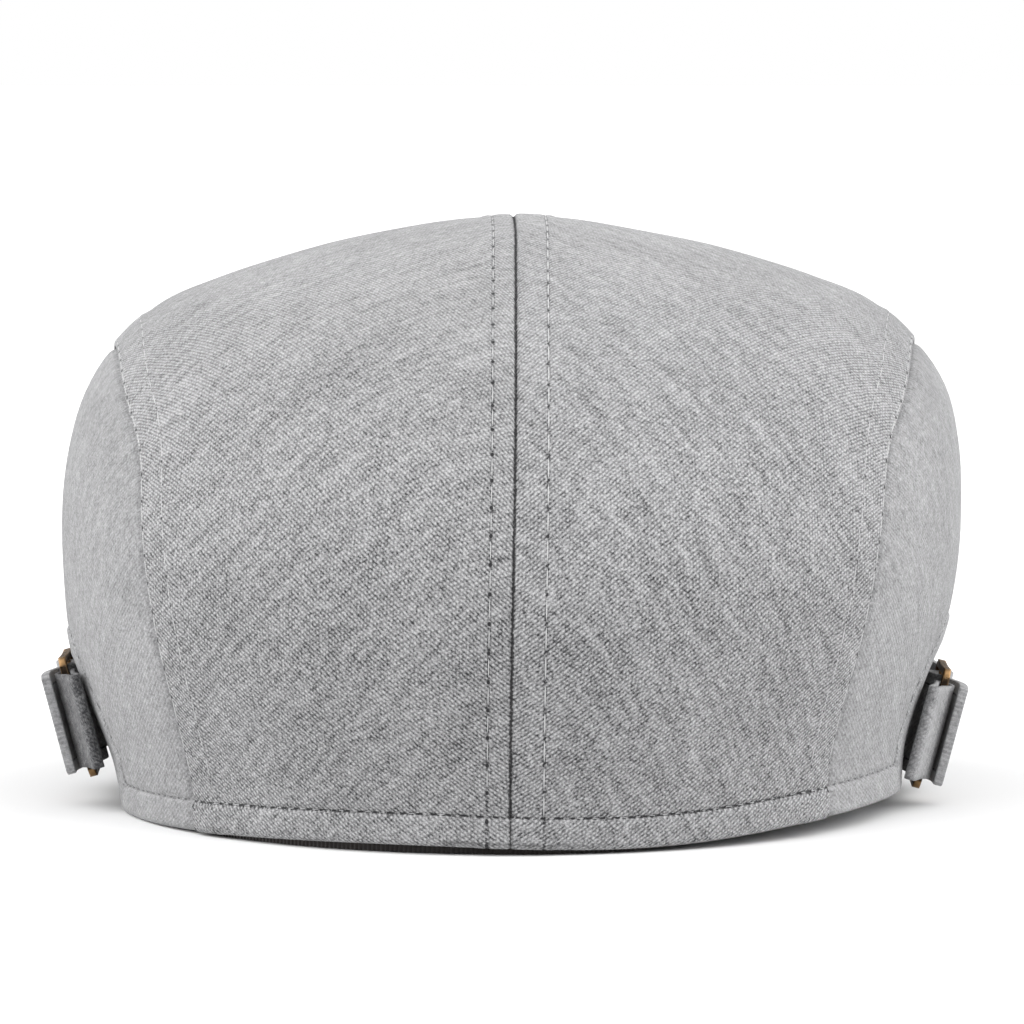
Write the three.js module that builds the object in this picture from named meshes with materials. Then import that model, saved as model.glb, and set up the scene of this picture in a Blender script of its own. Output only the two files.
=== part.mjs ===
// Flat cap of heather-grey woven cloth, seen from behind in its photo.
// Millimetres, +Z up, the peak points to -Y, the nape to +Y, the wearer's left to +X.
import * as THREE from "three";
import { mergeVertices } from "three/addons/utils/BufferGeometryUtils.js";

// Head opening: the oval of the hem
const HEM_WIDTH = 165;
const HEM_LENGTH = 204;

// Crown
const CROWN_HEIGHT = 122.2;
const CROWN_TOP_BACK = 12;
const CROWN_FRONT = 140;
const CROWN_FRONT_SQUARENESS = 2.7;
const CLOTH = 1.6;
const SEAM_GAP = 0.4;

// Turned hem, and how far it stays above the sweatband at the back
const HEM_HEIGHT = 6.4;
const HEM_GROOVE = 0.3;
const BACK_HEM_SWELL = 0.8;
const SIDE_HEM_SWELL = 0.4;
const HEM_LIFT = 1.7;
const HEM_LIFT_CENTRE = 20;
const HEM_LIFT_WIDTH = 124;
const RIGHT_LIFT = 4.4;

// Seam between a top panel and a side panel, where it meets the hem (degrees from the side)
const SEAM_BACK_TURN = 46;
const SEAM_FRONT_TURN = -60;

// Vent in each side panel, bridged by the strap
const VENT_BACK = 27;
const VENT_FRONT = 30;
const VENT_HEIGHT = 30.5;

// Peak
const PEAK_WIDTH = 163;
const PEAK_REACH = 158;
const PEAK_SQUARENESS = 2.6;
const PEAK_THICK = 3.2;
const PEAK_SLOPE = 0.13;
const PEAK_SAG = 26;
const PEAK_CORNER_TURN = 24;
const PEAK_INSET = 1.5;

// Sweatband
const BAND_HEIGHT = 32;
const BAND_THICK = 1.2;
const BAND_GAP = 0.4;

// Side strap, its buckle and the keeper that holds the buckle
const STRAP_HEIGHT = 21.5;
const STRAP_THICK = 2.0;
const STRAP_MIDDLE_LEFT = 18.8;
const STRAP_MIDDLE_RIGHT = 16.4;
const STRAP_TILT = 15;
const STRAP_ROOT = -44;
const STRAP_END = 18;
const STRAP_FLARE = 0.1;
const BUCKLE_OFF = 2.7;
const BUCKLE_THICK = 1.6;
const BUCKLE_BAR = 1.7;
const BUCKLE_FRONT_BAR = -11;
const BUCKLE_BACK_BAR = 11;
const BUCKLE_CORNER = 2.4;
const KEEPER_THICK = 1.0;
const KEEPER_HEIGHT = 20;
const KEEPER_END = 29.5;
const FIT = 0.4;

// Colours and finishes
const COLOUR_TOP = 0xb3b3b5;
const COLOUR_SIDE = 0xbcbcbe;
const COLOUR_STRAP = 0xa8a8aa;
const COLOUR_PEAK = 0xb0b0b2;
const COLOUR_BAND = 0x1b1a1b;
const COLOUR_BRASS = 0x7c7166;
const ROUGH_CLOTH = 0.92;
const ROUGH_BAND = 0.85;
const ROUGH_BRASS = 0.42;
const METAL_BRASS = 0.9;

// Rise of the crown to its left, right, back and front, from the edge up to the top.
// Each column is a share of the way out from the top to the edge, or up the crown's height.
const CROWN_COLUMNS = ["left", "right", "sideUp", "back", "backUp", "front", "frontUp"];
const CROWN_TABLE = [
  [1.000, 1.000, 0.000, 1.000, 0.000, 1.000, 0.000],
  [1.026, 1.008, 0.091, 1.017, 0.091, 1.000, 0.070],
  [1.078, 1.050, 0.190, 1.050, 0.190, 0.985, 0.145],
  [1.119, 1.099, 0.290, 1.080, 0.285, 0.955, 0.225],
  [1.136, 1.127, 0.397, 1.088, 0.385, 0.912, 0.310],
  [1.137, 1.135, 0.496, 1.065, 0.485, 0.860, 0.400],
  [1.119, 1.129, 0.595, 1.015, 0.580, 0.800, 0.490],
  [1.077, 1.094, 0.694, 0.945, 0.665, 0.735, 0.575],
  [0.998, 1.008, 0.781, 0.855, 0.745, 0.665, 0.655],
  [0.882, 0.894, 0.851, 0.755, 0.810, 0.590, 0.730],
  [0.742, 0.754, 0.893, 0.640, 0.865, 0.505, 0.800],
  [0.600, 0.609, 0.926, 0.520, 0.908, 0.415, 0.860],
  [0.453, 0.464, 0.955, 0.395, 0.945, 0.320, 0.910],
  [0.302, 0.308, 0.977, 0.265, 0.973, 0.220, 0.952],
  [0.151, 0.153, 0.993, 0.130, 0.992, 0.110, 0.984],
  [0.000, 0.000, 1.000, 0.000, 1.000, 0.000, 1.000],
];
const CROWN_ROWS = CROWN_TABLE.map((row) =>
  Object.fromEntries(CROWN_COLUMNS.map((name, column) => [name, row[column]])),
);
const TOP_ROW = CROWN_ROWS.length - 1;

// Side seam: share of the turn from its back end to its front end, and row of the crown table.
const SEAM_POINTS = [
  { along: 0.0, row: 0.0 },
  { along: 0.004, row: 2.85 },
  { along: 0.043, row: 5.05 },
  { along: 0.083, row: 6.25 },
  { along: 0.164, row: 7.1 },
  { along: 0.33, row: 7.9 },
  { along: 0.528, row: 7.7 },
  { along: 0.67, row: 7.0 },
  { along: 0.792, row: 5.9 },
  { along: 0.887, row: 4.3 },
  { along: 0.953, row: 2.4 },
  { along: 1.0, row: 0.0 },
];
const SEAM_CORNER = 3;

// Peak from its brow edge to its front edge: share of the way, and share of its thickness
const PEAK_ROWS = [
  { share: 0.0, fullness: 1.0 },
  { share: 0.3, fullness: 1.0 },
  { share: 0.6, fullness: 1.0 },
  { share: 0.84, fullness: 1.0 },
  { share: 0.95, fullness: 0.8 },
  { share: 1.0, fullness: 0.4 },
];
const PEAK_STEPS = 30;

// Grid of the panels: rows of the hem, rows up the back seam, steps from there to the front
const HEM_ROWS = 3;
const BACK_ROWS = 9;
const FRONT_STEPS = 22;
const ACROSS_STEPS = 12;
const CENTRE_CORNER_ROW = 6.9;

const radians = THREE.MathUtils.degToRad;
const lerp = THREE.MathUtils.lerp;

function smoothSample(rows, column, at) {
  const whole = Math.min(Math.max(Math.floor(at), 0), rows.length - 2);
  const part = at - whole;
  const pick = (index) => rows[Math.min(Math.max(index, 0), rows.length - 1)][column];
  const [before, start, end, after] = [whole - 1, whole, whole + 1, whole + 2].map(pick);
  const slopeStart = (end - before) / 2;
  const slopeEnd = (after - start) / 2;
  return (
    start * (1 + 2 * part) * (1 - part) ** 2 +
    slopeStart * part * (1 - part) ** 2 +
    end * part ** 2 * (3 - 2 * part) +
    slopeEnd * part ** 2 * (part - 1)
  );
}

function ovalReach(turn, halfWidth, reach, squareness) {
  const across = Math.abs(Math.cos(turn)) / halfWidth;
  const along = Math.abs(Math.sin(turn)) / reach;
  return (across ** squareness + along ** squareness) ** (-1 / squareness);
}

// Place on the peak seen from above: steps go round from corner to corner, the share outward
function peakPlan(step, share) {
  const turn = -radians(lerp(PEAK_CORNER_TURN, 180 - PEAK_CORNER_TURN, step / PEAK_STEPS));
  const near = ovalReach(turn, HEM_WIDTH / 2 - PEAK_INSET, HEM_LENGTH / 2 - PEAK_INSET, 2);
  const far = ovalReach(turn, PEAK_WIDTH / 2, PEAK_REACH, PEAK_SQUARENESS);
  const reach = lerp(near, far, share);
  return [reach * Math.cos(turn), reach * Math.sin(turn)];
}

function peakRise(x, y) {
  return PEAK_SLOPE * (y + HEM_LENGTH / 2) - PEAK_SAG * (x / (PEAK_WIDTH / 2)) ** 2;
}

// Lowest point of the peak's underside if its brow stood at height zero
function lowestPeakRise() {
  let lowest = Infinity;
  for (const { share, fullness } of PEAK_ROWS) {
    for (let step = 0; step <= PEAK_STEPS; step += 1) {
      const [x, y] = peakPlan(step, share);
      lowest = Math.min(lowest, peakRise(x, y) - (fullness * PEAK_THICK) / 2);
    }
  }
  return lowest;
}

const PEAK_BASE = -lowestPeakRise();

function peakMiddle(x, y) {
  return PEAK_BASE + peakRise(x, y);
}

function frontShare(y) {
  return THREE.MathUtils.smoothstep(-y, 10, 34);
}

// The cloth of the right side stands a little off the floor
function rightLift(x) {
  return RIGHT_LIFT * THREE.MathUtils.smoothstep(-x / (HEM_WIDTH / 2), 0.12, 1.1);
}

// Height of the crown's lower edge: just off the floor behind, on top of the peak in front
function edgeHeight(x, y) {
  const offCentre = (x - HEM_LIFT_CENTRE) / (HEM_LIFT_WIDTH / 2);
  const bump = y > 0 && Math.abs(offCentre) < 1 ? (1 - offCentre ** 2) ** 2 : 0;
  const onPeak = peakMiddle(x, y) + PEAK_THICK / 2 + SEAM_GAP;
  return lerp(HEM_LIFT * bump + rightLift(x), onPeak, frontShare(y));
}

function hemPoint(turn) {
  const front = Math.sin(turn) < 0;
  const reach = front
    ? ovalReach(turn, HEM_WIDTH / 2, CROWN_FRONT, CROWN_FRONT_SQUARENESS)
    : ovalReach(turn, HEM_WIDTH / 2, HEM_LENGTH / 2, 2);
  return [reach * Math.cos(turn), reach * Math.sin(turn)];
}

// Outer face of the crown over a disc: the edge on its rim, the top at its middle
function crownPoint(disc) {
  const radius = Math.min(disc.length(), 1);
  const turn = Math.atan2(disc.y, disc.x);
  const row = (1 - radius) * TOP_ROW;
  const sideShare = Math.cos(turn) ** 2;
  const end = Math.sin(turn) >= 0 ? "back" : "front";
  const side = Math.cos(turn) >= 0 ? "left" : "right";
  const blend = (endColumn, sideColumn) =>
    lerp(
      smoothSample(CROWN_ROWS, endColumn, row),
      smoothSample(CROWN_ROWS, sideColumn, row),
      sideShare,
    );
  const [hemX, hemY] = hemPoint(turn);
  const out = blend(end, side);
  const edge = edgeHeight(hemX, hemY);
  return new THREE.Vector3(
    hemX * out,
    lerp(CROWN_TOP_BACK, hemY, out),
    lerp(edge, CROWN_HEIGHT, blend(end + "Up", "sideUp")),
  );
}

function crownNormal(disc) {
  const step = 0.004;
  const shrink = Math.min(1, (1 - 2 * step) / Math.max(disc.length(), 1e-6));
  const at = disc.clone().multiplyScalar(shrink);
  const move = (x, y) => crownPoint(new THREE.Vector2(at.x + x, at.y + y));
  const acrossWay = move(step, 0).sub(move(-step, 0));
  const alongWay = move(0, step).sub(move(0, -step));
  return acrossWay.cross(alongWay).normalize();
}

function discAt(turn, row) {
  const radius = 1 - row / TOP_ROW;
  return new THREE.Vector2(radius * Math.cos(turn), radius * Math.sin(turn));
}

const SEAM_CURVE = new THREE.CatmullRomCurve3(
  SEAM_POINTS.map(({ along, row }) => {
    const at = discAt(radians(lerp(SEAM_BACK_TURN, SEAM_FRONT_TURN, along)), row);
    return new THREE.Vector3(at.x, at.y, 0);
  }),
  false,
  "centripetal",
);
const SEAM_CORNER_SHARE = SEAM_CORNER / (SEAM_POINTS.length - 1);

function seamDisc(share) {
  const at = SEAM_CURVE.getPoint(share);
  return new THREE.Vector2(at.x, at.y);
}

// Rows that bound the hem's stitched groove, in rows of the crown table
const HEM_ROW = (HEM_HEIGHT / CROWN_HEIGHT) * (1 / CROWN_ROWS[1].sideUp);
const HEM_ROW_SHARES = [0, 0.88, 1, 1.16];

function rowShare(index, span) {
  const even = index / BACK_ROWS;
  if (index <= HEM_ROWS) {
    return Math.min((HEM_ROW_SHARES[index] * HEM_ROW) / span, even);
  }
  const start = rowShare(HEM_ROWS, span);
  return lerp(start, 1, (index - HEM_ROWS) / (BACK_ROWS - HEM_ROWS));
}

// Blend of four edges into a patch over the disc
function patchPoint(edges, along, across) {
  const { low, high, start, end } = edges;
  const point = new THREE.Vector2();
  point.addScaledVector(low, 1 - across).addScaledVector(high, across);
  point.addScaledVector(start, 1 - along).addScaledVector(end, along);
  point.addScaledVector(edges.lowStart, -(1 - along) * (1 - across));
  point.addScaledVector(edges.lowEnd, -along * (1 - across));
  point.addScaledVector(edges.highStart, -(1 - along) * across);
  point.addScaledVector(edges.highEnd, -along * across);
  return point;
}

function hemSwell(index, swell) {
  return [swell, swell, -HEM_GROOVE, 0][index] ?? 0;
}

// Thick panel from a grid of disc points; the swell fattens its first rows outward
function panelSolid(discs, swellOf) {
  const outer = discs.map((line, row) =>
    line.map((disc, column) => {
      const point = crownPoint(disc).addScaledVector(crownNormal(disc), swellOf(row, column));
      return disc.length() > 0.9999 ? point.setZ(edgeHeight(point.x, point.y)) : point;
    }),
  );
  const inner = discs.map((line) =>
    line.map((disc) => {
      const point = crownPoint(disc).addScaledVector(crownNormal(disc), -CLOTH);
      return disc.length() > 0.9999 ? point.setZ(edgeHeight(point.x, point.y)) : point;
    }),
  );
  return shellSolid(outer, inner);
}

function shellSolid(outer, inner) {
  const rows = outer.length;
  const columns = outer[0].length;
  const points = [...outer.flat(), ...inner.flat()];
  const outside = (row, column) => row * columns + column;
  const inside = (row, column) => rows * columns + row * columns + column;
  const faces = [];
  const quad = (a, b, c, d) => faces.push([a, b, c], [a, c, d]);
  for (let row = 0; row < rows - 1; row += 1) {
    for (let column = 0; column < columns - 1; column += 1) {
      const corners = [[row, column], [row + 1, column], [row + 1, column + 1], [row, column + 1]];
      quad(...corners.map(([i, j]) => outside(i, j)));
      quad(...corners.map(([i, j]) => inside(i, j)).reverse());
    }
  }
  const rim = [];
  for (let row = 0; row < rows - 1; row += 1) {
    rim.push([row, 0]);
  }
  for (let column = 0; column < columns - 1; column += 1) {
    rim.push([rows - 1, column]);
  }
  for (let row = rows - 1; row > 0; row -= 1) {
    rim.push([row, columns - 1]);
  }
  for (let column = columns - 1; column > 0; column -= 1) {
    rim.push([0, column]);
  }
  rim.forEach((from, index) => {
    const to = rim[(index + 1) % rim.length];
    quad(outside(...to), outside(...from), inside(...from), inside(...to));
  });
  return bodyFrom(points, faces);
}

function bodyFrom(points, faces) {
  const kept = new Map();
  const spots = [];
  const names = points.map((point) => {
    const key = point.toArray().map((value) => value.toFixed(4)).join(" ");
    if (!kept.has(key)) {
      kept.set(key, spots.length);
      spots.push(point);
    }
    return kept.get(key);
  });
  const index = faces
    .map((face) => face.map((corner) => names[corner]))
    .filter(([a, b, c]) => a !== b && b !== c && c !== a)
    .flat();
  const geometry = new THREE.BufferGeometry();
  const flat = spots.flatMap((point) => point.toArray());
  geometry.setAttribute("position", new THREE.Float32BufferAttribute(flat, 3));
  geometry.setIndex(index);
  return geometry;
}

function seamShareAt(step) {
  if (step <= BACK_ROWS) {
    return SEAM_CORNER_SHARE * rowShare(step, SEAM_POINTS[SEAM_CORNER].row);
  }
  return lerp(SEAM_CORNER_SHARE, 1, (step - BACK_ROWS) / FRONT_STEPS);
}

function centreDiscAt(step) {
  if (step <= BACK_ROWS) {
    const row = CENTRE_CORNER_ROW * rowShare(step, CENTRE_CORNER_ROW);
    return new THREE.Vector2(0, 1 - row / TOP_ROW);
  }
  const start = 1 - CENTRE_CORNER_ROW / TOP_ROW;
  return new THREE.Vector2(0, lerp(start, -1, (step - BACK_ROWS) / FRONT_STEPS));
}

// Draws the edge of a panel in from a seam by half the seam's gap
function drawIn(grid, pick, inward) {
  const scale = SEAM_GAP / 2;
  grid.forEach((line, row) => {
    line.forEach((disc, column) => {
      if (!pick(row, column)) {
        return;
      }
      const next = inward(row, column);
      const here = crownPoint(disc);
      const gap = crownPoint(next).distanceTo(here);
      disc.lerp(next, gap > 1e-6 ? scale / gap : 0);
      if (row === 0 || (row === grid.length - 1 && disc.length() > 0.98)) {
        disc.normalize();
      }
    });
  });
}

function topPanelLeft() {
  const steps = BACK_ROWS + FRONT_STEPS;
  const backTurn = radians(SEAM_BACK_TURN);
  const frontTurn = radians(SEAM_FRONT_TURN);
  const grid = [];
  for (let step = 0; step <= steps; step += 1) {
    const along = step / steps;
    const low = centreDiscAt(step);
    const high = seamDisc(seamShareAt(step));
    const line = [];
    for (let place = 0; place <= ACROSS_STEPS; place += 1) {
      const across = place / ACROSS_STEPS;
      line.push(
        patchPoint(
          {
            low,
            high,
            start: discAt(lerp(Math.PI / 2, backTurn, across), 0),
            end: discAt(lerp(-Math.PI / 2, frontTurn, across), 0),
            lowStart: discAt(Math.PI / 2, 0),
            lowEnd: discAt(-Math.PI / 2, 0),
            highStart: discAt(backTurn, 0),
            highEnd: discAt(frontTurn, 0),
          },
          along,
          across,
        ),
      );
    }
    grid.push(line);
  }
  drawIn(grid, (row, column) => column === 0, (row) => grid[row][1]);
  drawIn(grid, (row, column) => column === ACROSS_STEPS, (row) => grid[row][ACROSS_STEPS - 1]);
  return grid;
}

// Lower edge of a side panel: the hem, lifted into an arch over the vent
function sideEdgeDisc(y) {
  const reach = y >= 0 ? VENT_BACK : VENT_FRONT;
  const inVent = Math.min(Math.abs(y) / reach, 1);
  const arch = (VENT_HEIGHT / CROWN_HEIGHT) * (1 - inVent ** 5) ** 0.5;
  const row = arch / (CROWN_ROWS[3].sideUp / 3);
  let low = radians(-85);
  let high = radians(85);
  for (let turn = 0; turn < 40; turn += 1) {
    const middle = (low + high) / 2;
    if (hemPoint(middle)[1] < y) {
      low = middle;
    } else {
      high = middle;
    }
  }
  return discAt((low + high) / 2, row);
}

// Places along the lower edge of a side panel, as shares of the way to the vent and past it
const SIDE_BEHIND = [1, 0.72, 0.44, 0.2, 0.04];
const SIDE_VENT_BACK = [0.999, 0.97, 0.86, 0.6, 0.25];
const SIDE_VENT_FRONT = [-0.2, -0.6, -0.86, -0.97, -0.999];
const SIDE_AHEAD = [0.03, 0.16, 0.32, 0.48, 0.64, 0.8, 0.92, 1];

function sidePanelLeft() {
  const [, backY] = hemPoint(radians(SEAM_BACK_TURN));
  const [, frontY] = hemPoint(radians(SEAM_FRONT_TURN));
  const places = [
    ...SIDE_BEHIND.map((share) => lerp(VENT_BACK, backY, share)),
    ...SIDE_VENT_BACK.map((share) => share * VENT_BACK),
    ...SIDE_VENT_FRONT.map((share) => share * VENT_FRONT),
    ...SIDE_AHEAD.map((share) => lerp(-VENT_FRONT, frontY, share)),
  ];
  const grid = [];
  for (let row = 0; row <= BACK_ROWS; row += 1) {
    grid.push([]);
  }
  places.forEach((y, step) => {
    const along = step / FRONT_STEPS;
    const low = sideEdgeDisc(y);
    const high = seamDisc(seamShareAt(BACK_ROWS + step));
    const span = low.distanceTo(high) * TOP_ROW;
    for (let row = 0; row <= BACK_ROWS; row += 1) {
      const across = span > 1e-6 ? rowShare(row, span) : row / BACK_ROWS;
      const fixed = rowShare(row, SEAM_POINTS[SEAM_CORNER].row);
      const start = seamDisc(SEAM_CORNER_SHARE * fixed);
      const straight = discAt(radians(SEAM_BACK_TURN), 0).lerp(seamDisc(SEAM_CORNER_SHARE), fixed);
      const point = low.clone().lerp(high, across);
      const bow = start.clone().sub(straight).multiplyScalar((1 - along) ** 4);
      grid[row].push(point.add(bow));
    }
  });
  drawIn(grid, (row) => row === BACK_ROWS, (row, column) => grid[BACK_ROWS - 1][column]);
  drawIn(grid, (row, column) => column === 0, (row) => grid[row][1]);
  drawIn(grid, (row, column) => column === FRONT_STEPS, () => grid[0][FRONT_STEPS - 1]);
  grid.forEach((line) => line[FRONT_STEPS].copy(grid[0][FRONT_STEPS]));
  return grid;
}

function peakSolid() {
  const rows = (side) =>
    PEAK_ROWS.map(({ share, fullness }) => {
      const line = [];
      for (let step = 0; step <= PEAK_STEPS; step += 1) {
        const [x, y] = peakPlan(step, share);
        line.push(new THREE.Vector3(x, y, peakMiddle(x, y) + (side * fullness * PEAK_THICK) / 2));
      }
      return line;
    });
  return shellSolid(rows(-1), rows(1));
}

function bandSolid() {
  const steps = 56;
  const inset = CLOTH + BAND_GAP;
  const points = [];
  const faces = [];
  for (let step = 0; step < steps; step += 1) {
    const turn = (step / steps) * 2 * Math.PI;
    for (const [depth, top] of [[0, 0], [0, 1], [BAND_THICK, 1], [BAND_THICK, 0]]) {
      const outer = ovalReach(turn, HEM_WIDTH / 2 - inset, HEM_LENGTH / 2 - inset, 2);
      const x = (outer - depth) * Math.cos(turn);
      const y = (outer - depth) * Math.sin(turn);
      const edgeX = outer * Math.cos(turn);
      const edgeY = outer * Math.sin(turn);
      const underPeak = peakMiddle(edgeX, edgeY) - PEAK_THICK / 2;
      const low = lerp(rightLift(edgeX), underPeak, frontShare(y));
      points.push(new THREE.Vector3(x, y, Math.max(low, 0) + top * BAND_HEIGHT));
    }
    const here = step * 4;
    const next = ((step + 1) % steps) * 4;
    for (let side = 0; side < 4; side += 1) {
      const after = (side + 1) % 4;
      faces.push([here + side, next + side, next + after], [here + side, next + after, here + after]);
    }
  }
  return bodyFrom(points, faces);
}

// Frame of a strap: along points back, up leans out with the crown, out points away from it.
// Both straps are laid out as on the left side, each from the crown of its own side.
const TILT = radians(STRAP_TILT);
const STRAP_UP = new THREE.Vector3(Math.sin(TILT), 0, Math.cos(TILT));
const STRAP_OUT = new THREE.Vector3(Math.cos(TILT), 0, -Math.sin(TILT));
const STRAP_ALONG = new THREE.Vector3(0, 1, 0);

function sidePoint(side, turn, row) {
  const disc = discAt(turn, row);
  const point = crownPoint(new THREE.Vector2(side * disc.x, disc.y));
  return point.setX(side * point.x);
}

function strapOrigin(side) {
  const middle = side > 0 ? STRAP_MIDDLE_LEFT : STRAP_MIDDLE_RIGHT;
  const row = middle / CROWN_HEIGHT / CROWN_ROWS[1].sideUp;
  return sidePoint(side, 0, row).setY(0).setZ(middle);
}

// How far out the crown reaches behind the strap at a place along it
function crownOut(side, along, height) {
  const origin = strapOrigin(side);
  let furthest = -Infinity;
  for (let row = 0; row <= 4; row += 0.25) {
    for (let degrees = -40; degrees <= 30; degrees += 1) {
      const offset = sidePoint(side, radians(degrees), row).sub(origin);
      const nearby = Math.abs(offset.y - along) < 1.6;
      if (nearby && Math.abs(offset.dot(STRAP_UP)) < height / 2 + 1) {
        furthest = Math.max(furthest, offset.dot(STRAP_OUT));
      }
    }
  }
  return furthest + SIDE_HEM_SWELL;
}

function ribbonShape(path, thick) {
  const curve = new THREE.CatmullRomCurve3(
    path.map(([along, out]) => new THREE.Vector3(along, out, 0)),
    false,
    "centripetal",
  );
  const count = 26;
  const left = [];
  const right = [];
  for (let step = 0; step <= count; step += 1) {
    const at = curve.getPointAt(step / count);
    const way = curve.getTangentAt(step / count);
    left.push(new THREE.Vector2(at.x - (way.y * thick) / 2, at.y + (way.x * thick) / 2));
    right.push(new THREE.Vector2(at.x + (way.y * thick) / 2, at.y - (way.x * thick) / 2));
  }
  return new THREE.Shape([...right, ...left.reverse()]);
}

function plainExtrusion(shape, depth) {
  const geometry = new THREE.ExtrudeGeometry(shape, {
    depth,
    bevelEnabled: false,
    curveSegments: 4,
  });
  geometry.deleteAttribute("normal");
  geometry.deleteAttribute("uv");
  return mergeVertices(geometry.translate(0, 0, -depth / 2), 1e-4);
}

// Stands a piece drawn over along and out on its edge at one side of the cap
function standUp(geometry, side) {
  const down = STRAP_UP.clone().negate();
  const basis = new THREE.Matrix4().makeBasis(STRAP_ALONG, STRAP_OUT, down);
  return placed(geometry.applyMatrix4(basis.setPosition(strapOrigin(side))), side);
}

function placed(geometry, side) {
  return side > 0 ? geometry : mirrored(geometry);
}

const KEEPER_FACE = BUCKLE_OFF + BUCKLE_THICK / 2 + FIT + KEEPER_THICK;

function strapSolid(side) {
  const half = STRAP_THICK / 2;
  const root = crownOut(side, STRAP_ROOT + 4, STRAP_HEIGHT) + SEAM_GAP + half;
  const over = BUCKLE_OFF + BUCKLE_THICK / 2 + FIT + half;
  const under = BUCKLE_OFF - BUCKLE_THICK / 2 - FIT - half;
  const past = KEEPER_FACE + FIT + half;
  return standUp(
    plainExtrusion(
      ribbonShape(
        [
          [STRAP_ROOT, crownOut(side, STRAP_ROOT, STRAP_HEIGHT) + SEAM_GAP + half],
          [STRAP_ROOT + 9, root + 0.3],
          [lerp(STRAP_ROOT, BUCKLE_FRONT_BAR, 0.62), lerp(root, over, 0.75)],
          [BUCKLE_FRONT_BAR - 0.5, over + 0.1],
          [BUCKLE_FRONT_BAR * 0.8, lerp(over, under, 0.1)],
          [BUCKLE_FRONT_BAR * 0.5, lerp(over, under, 0.55)],
          [BUCKLE_FRONT_BAR * 0.2, lerp(over, under, 0.94)],
          [0, under - 0.1],
          [BUCKLE_BACK_BAR * 0.2, lerp(under, past, 0.05)],
          [BUCKLE_BACK_BAR * 0.47, lerp(under, past, 0.5)],
          [BUCKLE_BACK_BAR * 0.75, lerp(under, past, 0.92)],
          [BUCKLE_BACK_BAR, past + 0.1],
          [STRAP_END, past + STRAP_FLARE],
        ],
        STRAP_THICK,
      ),
      STRAP_HEIGHT,
    ),
    side,
  );
}

// Keeper: a flat ring of cloth, round the back bar of the buckle at one end, on the crown at the other
function keeperSolid(side) {
  const half = KEEPER_THICK + 0.3;
  const eye = BUCKLE_THICK / 2 + FIT + KEEPER_THICK;
  const end = crownOut(side, VENT_BACK, KEEPER_HEIGHT) + SEAM_GAP + half;
  const slope = (end - BUCKLE_OFF) / (KEEPER_END - BUCKLE_BACK_BAR);
  const middle = (along) => BUCKLE_OFF + slope * (along - BUCKLE_BACK_BAR);
  const reach = BUCKLE_BAR / 2 + FIT + 0.15;
  const outline = (grow, noseGrow, tail) => [
    [BUCKLE_BACK_BAR + reach + 1.5, BUCKLE_OFF + eye - grow],
    [BUCKLE_BACK_BAR - reach + 0.4, BUCKLE_OFF + eye - grow],
    [BUCKLE_BACK_BAR - reach - noseGrow, BUCKLE_OFF + (eye - grow) * 0.45],
    [BUCKLE_BACK_BAR - reach - noseGrow, BUCKLE_OFF - (eye - grow) * 0.45],
    [BUCKLE_BACK_BAR - reach + 0.4, BUCKLE_OFF - eye + grow],
    [BUCKLE_BACK_BAR + reach + 1.5, BUCKLE_OFF - eye + grow],
    [lerp(BUCKLE_BACK_BAR, KEEPER_END, 0.55), middle(21) - half + grow],
    [KEEPER_END - 1 - tail, end - half + grow],
    [KEEPER_END - tail, end - (half - grow) * 0.4],
    [KEEPER_END - tail, end + (half - grow) * 0.4],
    [KEEPER_END - 1 - tail, end + half - grow],
    [lerp(BUCKLE_BACK_BAR, KEEPER_END, 0.55), middle(21) + half - grow],
  ];
  const toPoints = (list) => list.map(([along, out]) => new THREE.Vector2(along, out));
  const shape = new THREE.Shape(toPoints(outline(0, KEEPER_THICK, 0)));
  shape.holes.push(new THREE.Path(toPoints(outline(KEEPER_THICK, 0, KEEPER_THICK)).reverse()));
  return standUp(plainExtrusion(shape, KEEPER_HEIGHT), side);
}

function roundedBox(path, low, high, halfHeight, corner) {
  path.moveTo(low + corner, -halfHeight);
  path.lineTo(high - corner, -halfHeight);
  path.quadraticCurveTo(high, -halfHeight, high, -halfHeight + corner);
  path.lineTo(high, halfHeight - corner);
  path.quadraticCurveTo(high, halfHeight, high - corner, halfHeight);
  path.lineTo(low + corner, halfHeight);
  path.quadraticCurveTo(low, halfHeight, low, halfHeight - corner);
  path.lineTo(low, -halfHeight + corner);
  path.quadraticCurveTo(low, -halfHeight, low + corner, -halfHeight);
  return path;
}

function buckleSolid(side) {
  const half = BUCKLE_BAR / 2;
  const window = STRAP_HEIGHT / 2 + FIT;
  const low = BUCKLE_FRONT_BAR - half;
  const high = BUCKLE_BACK_BAR + half;
  const shape = roundedBox(new THREE.Shape(), low, high, window + BUCKLE_BAR, BUCKLE_CORNER);
  shape.holes.push(roundedBox(new THREE.Path(), low + BUCKLE_BAR, -half, window, 0.6));
  shape.holes.push(roundedBox(new THREE.Path(), half, high - BUCKLE_BAR, window, 0.6));
  const geometry = plainExtrusion(shape, BUCKLE_THICK).translate(0, 0, BUCKLE_OFF);
  const basis = new THREE.Matrix4().makeBasis(STRAP_ALONG, STRAP_UP, STRAP_OUT);
  return placed(geometry.applyMatrix4(basis.setPosition(strapOrigin(side))), side);
}

function mirrored(geometry) {
  const other = geometry.clone().scale(-1, 1, 1);
  const index = other.getIndex();
  for (let face = 0; face < index.count; face += 3) {
    const second = index.getX(face + 1);
    index.setX(face + 1, index.getX(face + 2));
    index.setX(face + 2, second);
  }
  return other;
}

// The hem lifts more on one side, so the right panels are shaped over their own side
function rightGrid(grid) {
  return grid.map((line) => line.map((disc) => new THREE.Vector2(-disc.x, disc.y)).reverse());
}

function finish(color, roughness, metalness = 0) {
  return new THREE.MeshStandardMaterial({ color, roughness, metalness });
}

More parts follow.
